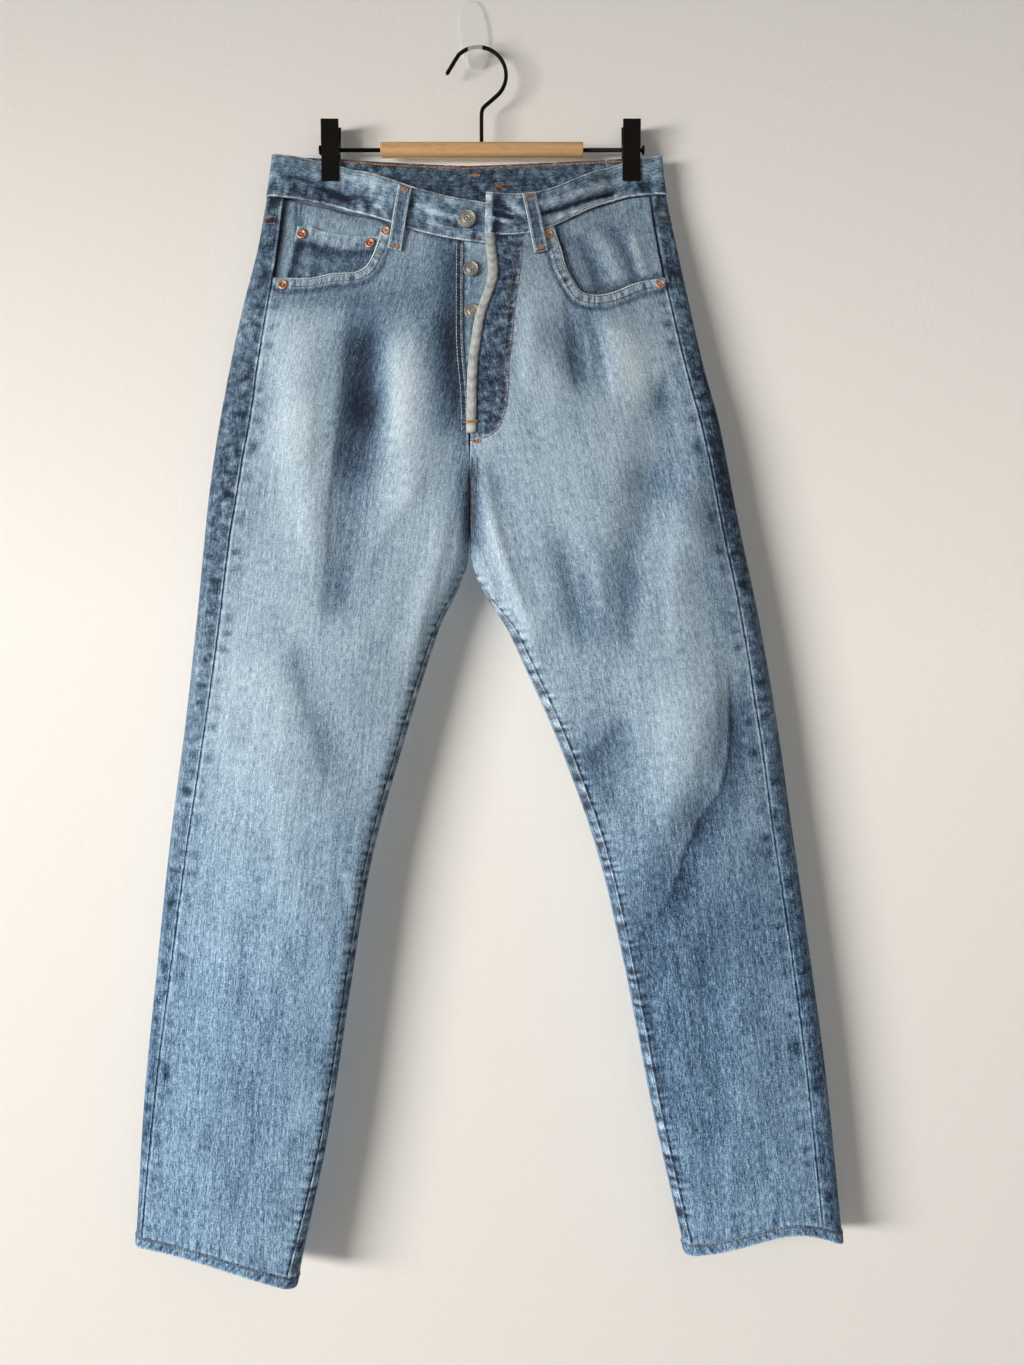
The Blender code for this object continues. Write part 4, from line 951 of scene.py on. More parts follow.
def wood_material():
    """Beech with fine grain along the dowel."""
    graph = Graph("beech")
    place = graph.node("TexCoord").outputs["Object"]
    grain = graph.noise(place, 90.0, 4.0, (14.0, 1.0, 0.35))
    flecks = graph.noise(place, 700.0, 2.0, (6.0, 1.0, 1.0))
    mixed = graph.math("MULTIPLY_ADD", flecks, 0.3, graph.math("MULTIPLY", grain, 0.7))
    stops = ((0.30, (0.40, 0.215, 0.085)), (0.5, (0.56, 0.33, 0.15)), (0.7, (0.66, 0.42, 0.21)))
    return graph.finish(graph.ramp(mixed, stops), 0.55, flecks, 0.08)


def clear_material():
    """Clear moulded plastic."""
    graph = Graph("clear_plastic")
    place = graph.node("TexCoord").outputs["Object"]
    haze = graph.noise(place, 60.0, 2.0)
    rough = graph.math("MULTIPLY_ADD", haze, 0.10, 0.08)
    return graph.finish((0.80, 0.80, 0.77, 1.0), rough, haze, 0.05, Alpha=0.26,
                        Specular_IOR_Level=0.9)


MATERIALS = {
    "denim": denim_material("denim", DENIM_TONES, 1.0),
    "fly_roll": denim_material("fly_roll", ROLL_TONES, 0.5),
    "brown": thread_material("thread_brown", (0.040, 0.024, 0.016), (0.20, 0.10, 0.05)),
    "orange": thread_material("thread_orange", (0.22, 0.075, 0.018), (0.56, 0.25, 0.07)),
    "pale": thread_material("thread_pale", (0.22, 0.25, 0.28), (0.55, 0.58, 0.58)),
    "grey_metal": metal_material("grey_metal", (0.50, 0.49, 0.46), (0.20, 0.19, 0.18), 0.46),
    "copper": metal_material("copper", (0.82, 0.47, 0.31), (0.45, 0.20, 0.12), 0.38),
    "black": metal_material("black_metal", (0.006, 0.005, 0.004), (0.004, 0.003, 0.002), 0.42,
                            300.0, 0.0, 0.02, 0.10),
    "beech": wood_material(),
    "clear": clear_material(),
}


# Meshes.

def add_object(name, vertices, faces, material, values=None):
    """New smooth object from vertices in millimetres, with its vertex attributes."""
    mesh = bpy.data.meshes.new(name)
    mesh.from_pydata((np.asarray(vertices) * MM).tolist(), [], faces)
    for key, numbers in (values or {}).items():
        numbers = np.asarray(numbers, np.float32)
        kind = "FLOAT_VECTOR" if numbers.ndim == 2 else "FLOAT"
        layer = mesh.attributes.new(key, kind, "POINT")
        layer.data.foreach_set("vector" if numbers.ndim == 2 else "value", numbers.ravel())
    mesh.shade_smooth()
    mesh.materials.append(MATERIALS[material])
    made = bpy.data.objects.new(name, mesh)
    bpy.context.collection.objects.link(made)
    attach(made, "root")
    return made


def shell(name, outer, inner, looks, material="denim", ring=False):
    """Closed sheet between two grids of points; looks are its weave, tone, mottling and tint,
    and the tone of its inside."""
    rows, columns = outer.shape[:2]
    index = np.arange(rows * columns).reshape(rows, columns)
    if ring:
        index = np.hstack([index, index[:, :1]])
    count = rows * columns

    def strip(first, second):
        return np.stack([first[:-1], first[1:], second[1:], second[:-1]], -1)

    quads = np.stack([index[:-1, :-1], index[:-1, 1:], index[1:, 1:], index[1:, :-1]], -1)
    quads = quads.reshape(-1, 4)
    parts = [quads, quads[:, ::-1] + count, strip(index[0] + count, index[0]),
             strip(index[-1], index[-1] + count)]
    if not ring:
        parts += [strip(index[:, 0], index[:, 0] + count),
                  strip(index[:, -1] + count, index[:, -1])]
    faces = np.vstack(parts)
    across = outer[0, 1] - outer[0, 0]
    below = outer[1, 0] - outer[0, 0]
    if np.dot(np.cross(across, below), outer[0, 0] - inner[0, 0]) < 0:
        faces = faces[:, ::-1]
    vertices = np.vstack([outer.reshape(-1, 3), inner.reshape(-1, 3)])
    weave, tone, wear, tint, inside = looks
    values = {"weave": np.tile(weave.reshape(-1, 3), (2, 1))}
    pairs = {"tone": (tone, inside), "wear": (wear, wear), "tint": (tint, tint)}
    for key, sides in pairs.items():
        values[key] = np.concatenate([np.broadcast_to(side, (rows, columns)).ravel()
                                      for side in sides])
    return add_object(name, vertices, faces.tolist(), material, values)


def tint_of(down):
    """How far the cloth has the bluer colour of the lower legs."""
    return smooth((down - 430.0) / 330.0)


def stand_in(node):
    """Hide the CAD part that a piece stands in for."""
    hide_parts(node)


# A cut piece's smallest side, in metres.
SMALLEST_SIDE = 0.0101


def declare(points, node):
    """Hide the CAD part that a cloth piece stands in for, and work out the flat size it was cut to,
    which nothing uses.
    """
    stand_in(node)
    widths = np.linalg.norm(np.diff(points, axis=1), axis=-1).sum(axis=1)
    lengths = np.linalg.norm(np.diff(points, axis=0), axis=-1).sum(axis=0)
    flat = (round(float(widths.max()) * MM, 3), round(float(lengths.max()) * MM, 3))
    flat = tuple(max(side, SMALLEST_SIDE) for side in flat)


def weave_of(down, s, offset=0.0):
    """Coordinates along the cloth's weft and warp, in millimetres."""
    down, s = np.broadcast_arrays(down, s)
    return np.stack([s + offset, down, np.zeros_like(down)], -1)


def cloth(name, half, down, s, own=None, seams=True, base=0.6, lift=0.0):
    """Cloth on the form, from a grid of levels and of s, with its own marks and the seams'."""
    down, s = np.broadcast_arrays(np.asarray(down, float), np.asarray(s, float))
    points = half.point(down, s)
    normals = half.normal(down, s)
    x, z = points[..., 0], points[..., 2]
    marks = half.seam_marks(down, s, x, z) if seams else Marks(x)
    if own is not None:
        marks.add(1.0, own.height, own.tone, own.wear)
    tone = marks.tone + base + half.fade(x, z, half.wrapped(down, s) >= 0)
    outer = points + normals * (marks.height + lift)[..., None]
    looks = (weave_of(down, s, half.sign * 500), tone, marks.wear, tint_of(down), 0.45)
    made = shell(name + "_looks", outer, outer - normals * DENIM, looks)
    declare(outer, name)
    return made


def graded(length, coarse, fine, margin):
    """Shares of a length: fine steps within margin of both ends and coarse ones between."""
    ends = np.arange(0, margin, fine)
    count = max(2, int((length - 2 * margin) / coarse))
    middle = np.linspace(margin, length - margin, count)
    return np.concatenate([ends, middle, length - ends[::-1]]) / length


def spaced(start, stop, step):
    """Numbers from start to stop, about a step apart."""
    return np.linspace(start, stop, max(2, int(round(abs(stop - start) / step)) + 1))


def panel_end(half, down):
    """The s of the front panel's inner edge."""
    return half.length(down) - half.value("inset", down)


# Cloth pieces.

ROW_STEP = 3.0
EDGE_STEP = 1.3


def front_panel(half):
    """Front of a leg; its first columns start on the pocket's mouth, the rest at the waist."""
    mouth = np.array([half.locate(x, z) for x, z in POCKET_MOUTH[half.side][::-1]])
    mouth[0, 1] = half.value("seam", mouth[0, 0]) + 0.15
    mouth[-1, 0] = 0.15
    mouth = curve(mouth, 1.6)
    rest = graded(panel_end(half, 0.0) - mouth[-1, 1], 2.6, EDGE_STEP, 6.0)[1:]
    rest = mouth[-1, 1] + rest * (panel_end(half, 0.0) - mouth[-1, 1])
    top = np.vstack([mouth, np.stack([np.full(len(rest), 0.15), rest], -1)])
    top[:, 0] = np.maximum(top[:, 0], 0.15)
    start = half.value("seam", top[:, 0])
    top_share = (top[:, 1] - start) / (panel_end(half, top[:, 0]) - start)
    top_share[0], top_share[-1] = 0.0, 1.0
    even = np.linspace(0, 1, len(top))
    low_share = even - 0.10 * np.sin(2 * math.pi * even) / math.pi
    rows = spaced(0.0, 1.0, ROW_STEP / HEM_TOP)[:, None]
    down = top[:, 0] + (HEM_TOP - SEAM_GAP / 2 - top[:, 0]) * rows
    blend = smooth((down - top[:, 0]) / 260.0)
    share = top_share * (1 - blend) + low_share * blend
    start, end = half.value("seam", down), panel_end(half, down)
    s = start + (end - start) * share
    s[:, 0] += SEAM_GAP / 2
    s[:, -1] -= SEAM_GAP / 2
    return cloth("front_" + half.side, half, down, s)


def yoke_line(half, share):
    """Level of the yoke seam, where share of the way from the side seam to the centre back."""
    seam = half.value("seam", 8.0)
    length = half.length(60.0, "back")
    back_share = np.clip((share * (seam + length) - seam) / length, 0, 1)
    return YOKE_SIDE + (YOKE_CENTRE - YOKE_SIDE) * back_share


def back_s(half, down, share):
    """The s of points that share the way from the side seam to the back's inner end."""
    wrapped = half.value("inset", down) * (down > CROTCH_DOWN)
    end = -half.length(down, "back") - wrapped
    return half.value("seam", down) * (1 - share) + end * share


def back_panel(half):
    """Back of a leg below the yoke, round to the side seam and inseam at the front."""
    share = graded(270.0, 4.0, EDGE_STEP, 30.0)
    rows = spaced(YOKE_SIDE, HEM_TOP - SEAM_GAP / 2, 4.0)[:, None]
    drop = yoke_line(half, share) - YOKE_SIDE
    down = rows + drop * (1 - smooth((rows - YOKE_SIDE) / YOKE_FADE))
    down[0] += SEAM_GAP / 2
    s = back_s(half, down, share)
    s[:, 0] -= SEAM_GAP / 2
    s[:, -1] += SEAM_GAP / 2

    below = down - yoke_line(half, share)
    wave = pucker(s, 9.0, 12.0)
    own = Marks(down)
    own.add(wave * bell(below, 5.0), 0.3)
    own.add(wave * bell(below, 7.0), tone=0.10)
    own.add(bell(below, 1.5), tone=0.15)
    return cloth("back_" + half.side, half, down, s, own)


def yoke(half):
    """Yoke between the waistband and the back panel."""
    share = graded(250.0, 4.0, EDGE_STEP, 24.0)
    step = spaced(0, 1, 0.05)[:, None]
    down = SEAM_GAP / 2 + (yoke_line(half, share) - SEAM_GAP) * step
    return cloth("yoke_" + half.side, half, down, back_s(half, down, share), base=0.58)


def pocket_facing(half):
    """Denim behind the front pocket's mouth, from the waistband and side seam inward."""
    if half.side == "right":
        inner = half.locate(*COIN_POCKET_MOUTH[-1])[1] + 12.0
    else:
        inner = half.locate(*POCKET_MOUTH["left"][2])[1] + 12.0
    down = spaced(SEAM_GAP, FACING_BOTTOM, 1.8)[:, None]
    start = half.value("seam", down) + 0.6
    share = spaced(0, 1, 1.8 / 110)
    s = start + (inner - start) * share

    points = half.point(down, s)
    x, z = points[..., 0], points[..., 2]
    height = folds(FACING_FOLDS[half.side], x, z)
    away, _, _ = from_path(half.mouth, x, z, 25.0)
    own = Marks(x, 0.3)
    # The tone follows the folds, painted highlight on ridges and painted shade in troughs, and
    # darkens near the pocket's mouth, painted shade inside the opening.
    own.add(1.0, np.clip(height, -1.5, 0.9), 0.15 * height - 0.30 * bell(away, 6.0))
    if half.side == "right":
        for line_x, width in FACING_LINES:
            own.add(bell(x - line_x, width), tone=-0.35)
    return cloth("pocket_facing_" + half.side, half, down, s, own, seams=False, base=0.54,
                 lift=-FACING_DEPTH[half.side])


def coin_pocket(half):
    """Small pocket on the right facing, open along its curved mouth."""
    places = np.array([half.locate(x, z) for x, z in COIN_POCKET_MOUTH])
    mouth = curve(places, 1.8)
    rows = spaced(0, 1, 1.8 / 55)[:, None]
    down = mouth[:, 0] + (FACING_BOTTOM - 8 - mouth[:, 0]) * rows
    s = mouth[:, 1] + 0 * down

    points = half.point(down, s)
    below = down - mouth[:, 0]
    side = s - mouth[0, 1]
    own = Marks(s, 0.7)
    own.add(pucker(s, 9.0, 20.0) * bell(below - 5.0, 5.0), 0.35, 0.14)
    # Folds, with painted highlight on their ridges and painted shade in their troughs.
    own.add(folds(COIN_FOLDS, points[..., 0], points[..., 2]), 1.0, 0.12)
    own.add(bell(below, 1.4), tone=0.22)
    own.add(smooth((16.0 - below) / 5.0), tone=0.24)
    # Dark band below the hem, painted shade of its edge.
    own.add(bell(below - 16.0, 5.0), tone=-0.20)
    own.add(bell(side, 1.5), tone=0.25)
    own.add(bell(side - 6.0, 3.0), tone=-0.30)
    return cloth("coin_pocket", half, down, s, own, seams=False, base=0.35, lift=-COIN_DEPTH)


def fly_facing(half):
    """Buttonhole side of the fly: a strip behind the front whose edge rolls out over it."""
    rows = spaced(0.6, 200.0, 1.8)
    section = curve(FLY_ROLL, 1.0)
    away, height = section.T
    narrow = np.sqrt(1 - np.clip((rows - 165.0) / 40.0, 0, 1) ** 2)[:, None]
    away = np.where(away > ROLL_WIDTH, ROLL_WIDTH + (away - ROLL_WIDTH) * narrow, away)
    down = np.broadcast_to(rows[:, None], away.shape)
    s = half.length(down) - away
    roll = height > -1.0
    ribs = np.where(roll, 0.05 * np.sin(2 * math.pi * (down + 0.8 * height) / 2.2), 0)
    swell = 1 + 0.12 * pucker(down, 30.0, 2.0)
    points = half.point(down, s)
    points = points + half.normal(down, s) * (height * np.where(roll, swell, 1) + ribs)[..., None]
    normals = np.cross(np.gradient(points, axis=0), np.gradient(points, axis=1))
    normals /= np.linalg.norm(normals, axis=-1, keepdims=True)
    # Paler rib crests on the roll are painted highlight; the darker line along the roll's outer
    # edge and the darker part under the front are painted shade.
    tone = 0.70 + 0.07 * pucker(down, 17.0, 1.0) + np.where(roll, ribs * 1.6, 0)
    tone = tone - 0.3 * bell(away - ROLL_WIDTH, 1.2) - 0.3 * (height < -2)
    made = shell("fly_facing_looks", points + normals * DENIM / 2, points - normals * DENIM / 2,
                 (weave_of(down, away), tone, 0.25, 0.0, 0.4), "fly_roll")
    declare(points, "fly_facing")
    return made


def fly_button_placket(half):
    """Button side of the fly, running on past the front panel's edge under the other front."""
    down = spaced(0.6, 196.0, 2.0)[:, None]
    start = panel_end(half, down) + SEAM_GAP
    s = start + (half.length(down) - start) * spaced(0, 1, 0.08)

    near = s - panel_end(half, down)
    wave = pucker(down, 9.0, 2.0)
    own = Marks(s, 0.3)
    own.add(wave * bell(near, 6.0), tone=0.10)
    own.add(wave * bell(near - 5.0, 5.0), 0.2)
    # Dark line along the front panel's edge, painted shade.
    own.add(bell(near, 1.5), tone=-0.30)
    own.add(bell(near - 4.0, 2.0), tone=0.20)
    return cloth("fly_button_placket", half, down, s, own, seams=False, base=0.72, lift=-0.2)


def band_marks(half, down, s, x, z):
    """Marks of the waistband: puckers at both edges, its creases, turned fold and ends."""
    front = s >= 0
    low, high = -down, down + BAND_HEIGHT
    marks = Marks(x)
    marks.add(pucker(s, 9.0, 14.0) * bell(low, 6.0), 0.45)
    marks.add(pucker(s, 12.0, 15.0) * bell(high, 5.0), 0.25)
    marks.add(pucker(s, 9.0, 14.0) * bell(low - 3.0, 6.0), tone=0.14)
    marks.add(pucker(s, 12.0, 15.0) * bell(high, 6.0), tone=0.10)
    marks.add(blotches(s, 19.0, 16.0) * bell(low - 8.0, 5.0), tone=-0.34)
    marks.add(pucker(s + down, 46.0, 17.0) * pucker(down - 0.3 * s, 30.0, 18.0), tone=-0.16)
    # Pale line along the bottom edge, partly worn and partly painted highlight on the raised edge.
    marks.add(bell(low - 0.6, 1.3), tone=0.42)
    marks.add(bell(high, 1.3), tone=0.34)
    # Darker places: a patch below the right clip, and the painted shadow of the left clip.
    marks.add(front * places(BAND_DARK_PLACES[half.side], x, z), tone=1.0)
    # Creases, their tone painted shade in the grooves and painted highlight on the ridges.
    marks.add(front * folds(BAND_CREASES[half.side], x, z), 1.0, BAND_CREASE_SHADING[half.side])
    if half.side == "left":
        away, turn, along = from_path(curve(BAND_FOLD, 5.0), x, z, 25.0)
        above = np.where(turn > 0, away, -away)
        ends = front * smooth(along / 14.0) * smooth((98.0 - along) / 14.0)
        # Over the turned fold, the ridge and the cloth below the groove are paler, painted
        # highlight, and the groove is dark, painted shade.
        marks.add(ends * bell(above - 6.5, 5.0), 3.0, 0.24)
        marks.add(ends * bell(above + 0.5, 1.7), -2.4, -0.52)
        marks.add(ends * bell(above + 7.0, 3.5), tone=0.34)
        end = half.length(down) - s
        marks.add(front * smooth((6.5 - end) / 1.5), tone=0.40)
        # Dark band in from the buttonhole end, painted shade of the cavity beside the raised end.
        marks.add(front * bell(end - 12.0, 5.0), tone=-0.42)
        # Buttonhole slot, painted dark as the shade inside it.
        marks.add(front * folds(BUTTONHOLE_SLOT, x, z), -1.4, -0.66)
        marks.add(front * folds(BUTTONHOLE_RIM, x, z), 0.6, 0.40)
    return marks


def band_surface(half, down, s, lift=0.0):
    """Points, normals and tone of the waistband's outside."""
    down, s = np.broadcast_arrays(np.asarray(down, float), np.asarray(s, float))
    points = half.point(down, s)
    normals = half.normal(down, s)
    marks = band_marks(half, down, s, points[..., 0], points[..., 2])
    raised = points + normals * (BAND_PROUD + marks.height + lift)[..., None]
    return raised, normals, marks.tone


def waistband():
    """One strip from the button end, round the back, to the buttonhole end."""
    rows = spaced(-BAND_HEIGHT, -SEAM_GAP / 2, 1.5)[:, None]
    grids = []
    for side in ("right", "left"):
        half = HALVES[side]
        front = half.length(rows) * (1 - graded(180.0, 2.0, 1.0, 10.0))
        back = -half.length(rows, "back") * graded(180.0, 3.0, 1.5, 12.0)[1:]
        s = np.hstack([front, back])
        down = np.broadcast_to(rows, s.shape)
        points, normals, tone = band_surface(half, down, s)
        grids.append((points, normals, tone, weave_of(s, down, half.sign * 500)))
    right, left = grids
    points, normals, tone, weave = (np.concatenate([a, b[:, -2::-1]], axis=1)
                                    for a, b in zip(right, left))
    made = shell("waistband_looks", points, points - normals * BAND_THICK,
                 (weave, tone + 0.43, 1.0, 0.0, 0.26))
    declare(points, "waistband")
    return made


def hem(half):
    """Turned-up hem, a ring round the bottom of the leg, roped by its stitching."""
    rows = spaced(HEM_TOP + SEAM_GAP / 2, HEM_TOP + HEM_HEIGHT, 1.1)[:, None]
    share = spaced(0, 1, 2.0 / 165)
    front = half.length(rows) * share
    back = -half.length(rows, "back") * share[::-1][:-1]
    s = np.hstack([front, back[:, 1:]])
    down = np.broadcast_to(rows, s.shape)
    points = half.point(down, s)
    normals = half.normal(down, s)
    below = down - HEM_TOP
    slant = pucker(s + 0.8 * below, 6.5, 5.0)
    height = 0.30 * slant * np.sin(math.pi * np.clip((below - 1.5) / 9.0, 0, 1))
    tone = 0.46 + 0.24 * slant * smooth((below - 2) / 2.0)
    tone = tone + 0.34 * bell(below - HEM_HEIGHT, 1.3)
    outer = points + normals * (HEM_PROUD + height)[..., None]
    made = shell("hem_" + half.side + "_looks", outer,
                 points + normals * (HEM_PROUD - HEM_THICK),
                 (weave_of(down, s), tone, 0.5, 1.0, 0.4), ring=True)
    declare(outer, "hem_" + half.side)
    lift = HEM_PROUD + 0.1
    line = HEM_TOP + 1.6
    places = np.hstack([spaced(0.5, half.length(line) - 0.5, 2.0),
                        -spaced(half.length(line, "back") - 0.5, 0.5, 2.0)])
    points = half.point(line + 0 * places, places)
    normals = half.normal(line + 0 * places, places)
    add_run("brown", points + normals * lift, normals)
    return made


def belt_loop(name, side, layer, top, bottom):
    """Strip over the waistband, with folded edges, standing off it between its two ends."""
    half = HALVES[side]
    steps = np.linspace(0, 1, 7)
    places = [half.locate(top[0] * (1 - t) + bottom[0] * t, top[1] * (1 - t) + bottom[1] * t, layer)
              for t in steps]
    share = spaced(0, 1, 0.025)
    level = hermite(share, steps, np.array([p[0] for p in places]))
    middle = hermite(share, steps, np.array([p[1] for p in places]))
    off = hermite(share, steps, np.array([0.9, 1.9, 2.4, 2.5, 2.4, 2.0, 1.5]))
    across = np.linspace(-1, 1, 13)
    down = level[:, None] + 0 * across
    s = middle[:, None] + across * LOOP_WIDTH / 2
    points = half.point(down, s)
    normals = half.normal(down, s)
    stand = BAND_PROUD * smooth((2 - down) / 3) + off[:, None] + LOOP_THICK
    stand = stand + 0.4 * bell(share[:, None] - 0.82, 0.12)
    stand = stand + 0.35 * np.abs(across) ** 3 - 0.25 * (1 - across ** 2)
    stand = stand + 0.12 * pucker(share[:, None] * 60, 7.0, across[None] > 0)
    outer = points + normals * stand[..., None]
    tone = 0.46 + 0.46 * np.abs(across) ** 5 - 0.14 * bell(np.abs(across) - 0.55, 0.2)
    tone = tone + 0.08 * pucker(share[:, None] * 60, 9.0, 2.0)
    tone = tone - 0.16 * bell(share[:, None] - 0.5, 0.3) * (np.abs(across) < 0.5)
    tone = tone + 0.20 * bell((share[:, None] - 0.5) ** 2 - 0.25, 0.02)
    made = shell(name + "_looks", outer, outer - normals * (LOOP_THICK + 0.2),
                 (weave_of(down, s), tone, 0.35, 0.0, 0.4))
    declare(outer, name)
    for column in (2, 10):
        add_run("pale", outer[1:-1, column], normals[1:-1, column], lift=0.1)
    for row in (2, len(share) - 3):
        bar = np.linspace(0.22, 0.78, 11)
        start, end = outer[row, 0], outer[row, -1]
        line = start + (end - start) * bar[:, None]
        add_bartack(line, normals[row, 6], 1.4, "orange", lift=0.5)
    return made


def back_pocket(half):
    """Patch pocket with a pointed bottom, on the back panel."""
    rows = spaced(0, 1, 2.4 / 150)[:, None]
    columns = np.linspace(-1, 1, 57)
    middle = -half.length(BACK_POCKET_TOP, "back") * 0.5
    width = BACK_POCKET_WIDTH * (1 - BACK_POCKET_TAPER * rows)
    s = middle + columns * width / 2
    point_down = BACK_POCKET_POINT * (1 - np.abs(columns)) * rows
    down = BACK_POCKET_TOP + (BACK_POCKET_HEIGHT - BACK_POCKET_POINT) * rows + point_down
    side = (1 - np.abs(columns)) * width / 2
    low = (1 - rows) * BACK_POCKET_HEIGHT
    high = rows * BACK_POCKET_HEIGHT

    near = np.minimum(side, low)
    own = Marks(down, 0.3)
    own.add(pucker(down + s, 9.0, 3.0) * bell(near - 4.0, 4.0), 0.3, 0.12)
    own.add(pucker(s, 10.0, 4.0) * bell(high - 6.0, 6.0), tone=0.12)
    own.add(bell(near, 1.4), tone=0.26)
    own.add(bell(high, 1.6), tone=0.24)
    own.add(bell(near - 30.0, 18.0), tone=0.08)
    own.add(smooth((near - 9.0) / 3.0), -0.2)
    own.add(smooth((16.0 - high) / 3.0), 0.4)
    made = cloth("back_pocket_" + half.side, half, down, s, own, seams=False,
                 lift=OVERLAY_GAP + DENIM)
    for inset in STITCH_ROWS["back_pocket"]:
        left = 1 - 2 * inset / BACK_POCKET_WIDTH
        end = 1 - inset / BACK_POCKET_HEIGHT
        corners = [(-left, 0.02), (-left, 0.5), (-left, end), (0.0, end), (left, end), (left, 0.5),
                   (left, 0.02)]
        route = straight(corners, 0.016)
        add_pocket_run(half, middle, route, "orange")
    for inset in STITCH_ROWS["back_pocket_top"]:
        row = inset / BACK_POCKET_HEIGHT
        add_pocket_run(half, middle, straight([(-0.99, row), (0.99, row)], 0.02), "orange")
    return made


def straight(corners, step):
    """Points along straight runs between corners, a step apart."""
    corners = np.array(corners, float)
    runs = [corners[:1]]
    for start, end in zip(corners[:-1], corners[1:]):
        count = max(2, int(np.linalg.norm(end - start) / step))
        runs.append(start + (end - start) * (np.arange(1, count + 1) / count)[:, None])
    return np.vstack(runs)


def add_pocket_run(half, middle, route, colour):
    """Stitching on a back pocket, along a route of (column, row) shares."""
    columns, rows = route.T
    width = BACK_POCKET_WIDTH * (1 - BACK_POCKET_TAPER * rows)
    s = middle + columns * width / 2
    down = BACK_POCKET_TOP + (BACK_POCKET_HEIGHT - BACK_POCKET_POINT) * rows
    down = down + BACK_POCKET_POINT * (1 - np.abs(columns)) * rows
    points = half.point(down, s)
    normals = half.normal(down, s)
    add_run(colour, points + normals * (OVERLAY_GAP + DENIM + 0.4), normals)


# Stitching.

STITCH_PITCH = 3.1
STITCH_LENGTH = 2.5
THREAD_WIDTH = 0.42
THREAD_HEIGHT = 0.30


def add_run(colour, points, normals, lift=0.0, pitch=STITCH_PITCH, length=STITCH_LENGTH,
            width=THREAD_WIDTH):
    """Row of stitches along a route on the cloth."""
    points = points + normals * lift
    steps = np.linalg.norm(np.diff(points, axis=0), axis=1)
    along = np.concatenate([[0], np.cumsum(steps)])
    at = np.arange(pitch / 2, along[-1] - length / 2, pitch)
    if len(at) == 0:
        return

    def read(places, values):
        return np.stack([np.interp(places, along, column) for column in values.T], -1)

    centre, before, after = (read(at + move, points) for move in (0, -length / 2, length / 2))
    STITCHES[colour].append((centre, (after - before) / 2, read(at, normals), width))


def add_bartack(line, normal, half_width, colour, lift=0.0):
    """Dense crosswise stitches along a short line."""
    line = np.asarray(line)
    along = line[-1] - line[0]
    along = along / np.linalg.norm(along)
    across = np.cross(along, normal)
    centres = line + normal * lift
    halves = np.broadcast_to(across * half_width, centres.shape)
    STITCHES[colour].append((centres, halves, np.broadcast_to(normal, centres.shape), 0.5))


def ring_faces(rings, sides):
    """End faces and quads of a closed tube whose vertices run ring by ring."""
    ends = [tuple(range(sides))[::-1], tuple(range((rings - 1) * sides, rings * sides))]
    quads = []
    for first in range(0, (rings - 1) * sides, sides):
        for i in range(sides):
            j = (i + 1) % sides
            quads.append((first + i, first + j, first + sides + j, first + sides + i))
    return ends, quads


def sew():
    """Build every stitch of a colour as one mesh of small capsules."""
    random = np.random.default_rng(7)
    turns = np.arange(6) * math.pi / 3
    rings = np.array([(-1.0, 0.35), (-0.72, 0.95), (0.0, 1.1), (0.72, 0.95), (1.0, 0.35)])
    for colour, runs in STITCHES.items():
        centre = np.vstack([run[0] for run in runs])
        along = np.vstack([run[1] for run in runs])
        normal = np.vstack([run[2] for run in runs])
        width = np.concatenate([np.full(len(run[0]), run[3]) for run in runs])
        across = np.cross(along, normal)
        across /= np.linalg.norm(across, axis=-1, keepdims=True)
        count = len(centre)
        place = rings[:, 0][None, :, None, None]
        size = rings[:, 1][None, :, None, None] * width[:, None, None, None]
        turned = (np.cos(turns)[None, None, :, None] * across[:, None, None]
                  + np.sin(turns)[None, None, :, None] * normal[:, None, None]
                  * THREAD_HEIGHT / THREAD_WIDTH)
        vertices = centre[:, None, None] + place * along[:, None, None] + size * turned
        sides = len(turns)
        block = len(rings) * sides
        first = np.arange(count)[:, None, None] * block
        caps, quads = (np.array(faces)[:, ::-1] for faces in ring_faces(len(rings), sides))
        faces = (quads + first).reshape(-1, 4)
        caps = (caps + first).reshape(-1, sides)
        worn = np.repeat(random.uniform(0.1, 0.9, count), block)
        add_object("stitches_" + colour, vertices.reshape(-1, 3), faces.tolist() + caps.tolist(),
                   colour, {"worn": worn})


def seam_run(half, colour, downs, places, lift=0.2, **options):
    """Stitching on the panels, through levels and s."""
    points, normals = half.surface(downs, places, lift)
    add_run(colour, points, normals, **options)


def path_run(half, colour, path, lift=0.2, **options):
    """Stitching on the front along a path of (x, z) points."""
    places = np.array([half.locate(x, z) for x, z in path])
    places = curve(places, 2.0)
    seam_run(half, colour, places[:, 0], places[:, 1], lift, **options)


def offset_path(path, distance):
    """The path moved to its left by a distance."""
    path = curve(path, 5.0)
    run = np.gradient(path, axis=0)
    run /= np.linalg.norm(run, axis=1, keepdims=True)
    return path + np.stack([-run[:, 1], run[:, 0]], -1) * distance


def band_run(half, colour, level, start, stop, lift=0.1, **options):
    """Stitching along the waistband between two places."""
    s = spaced(start, stop, 2.0)
    points, normals, _ = band_surface(half, level + 0 * s, s, lift)
    add_run(colour, points, normals, **options)


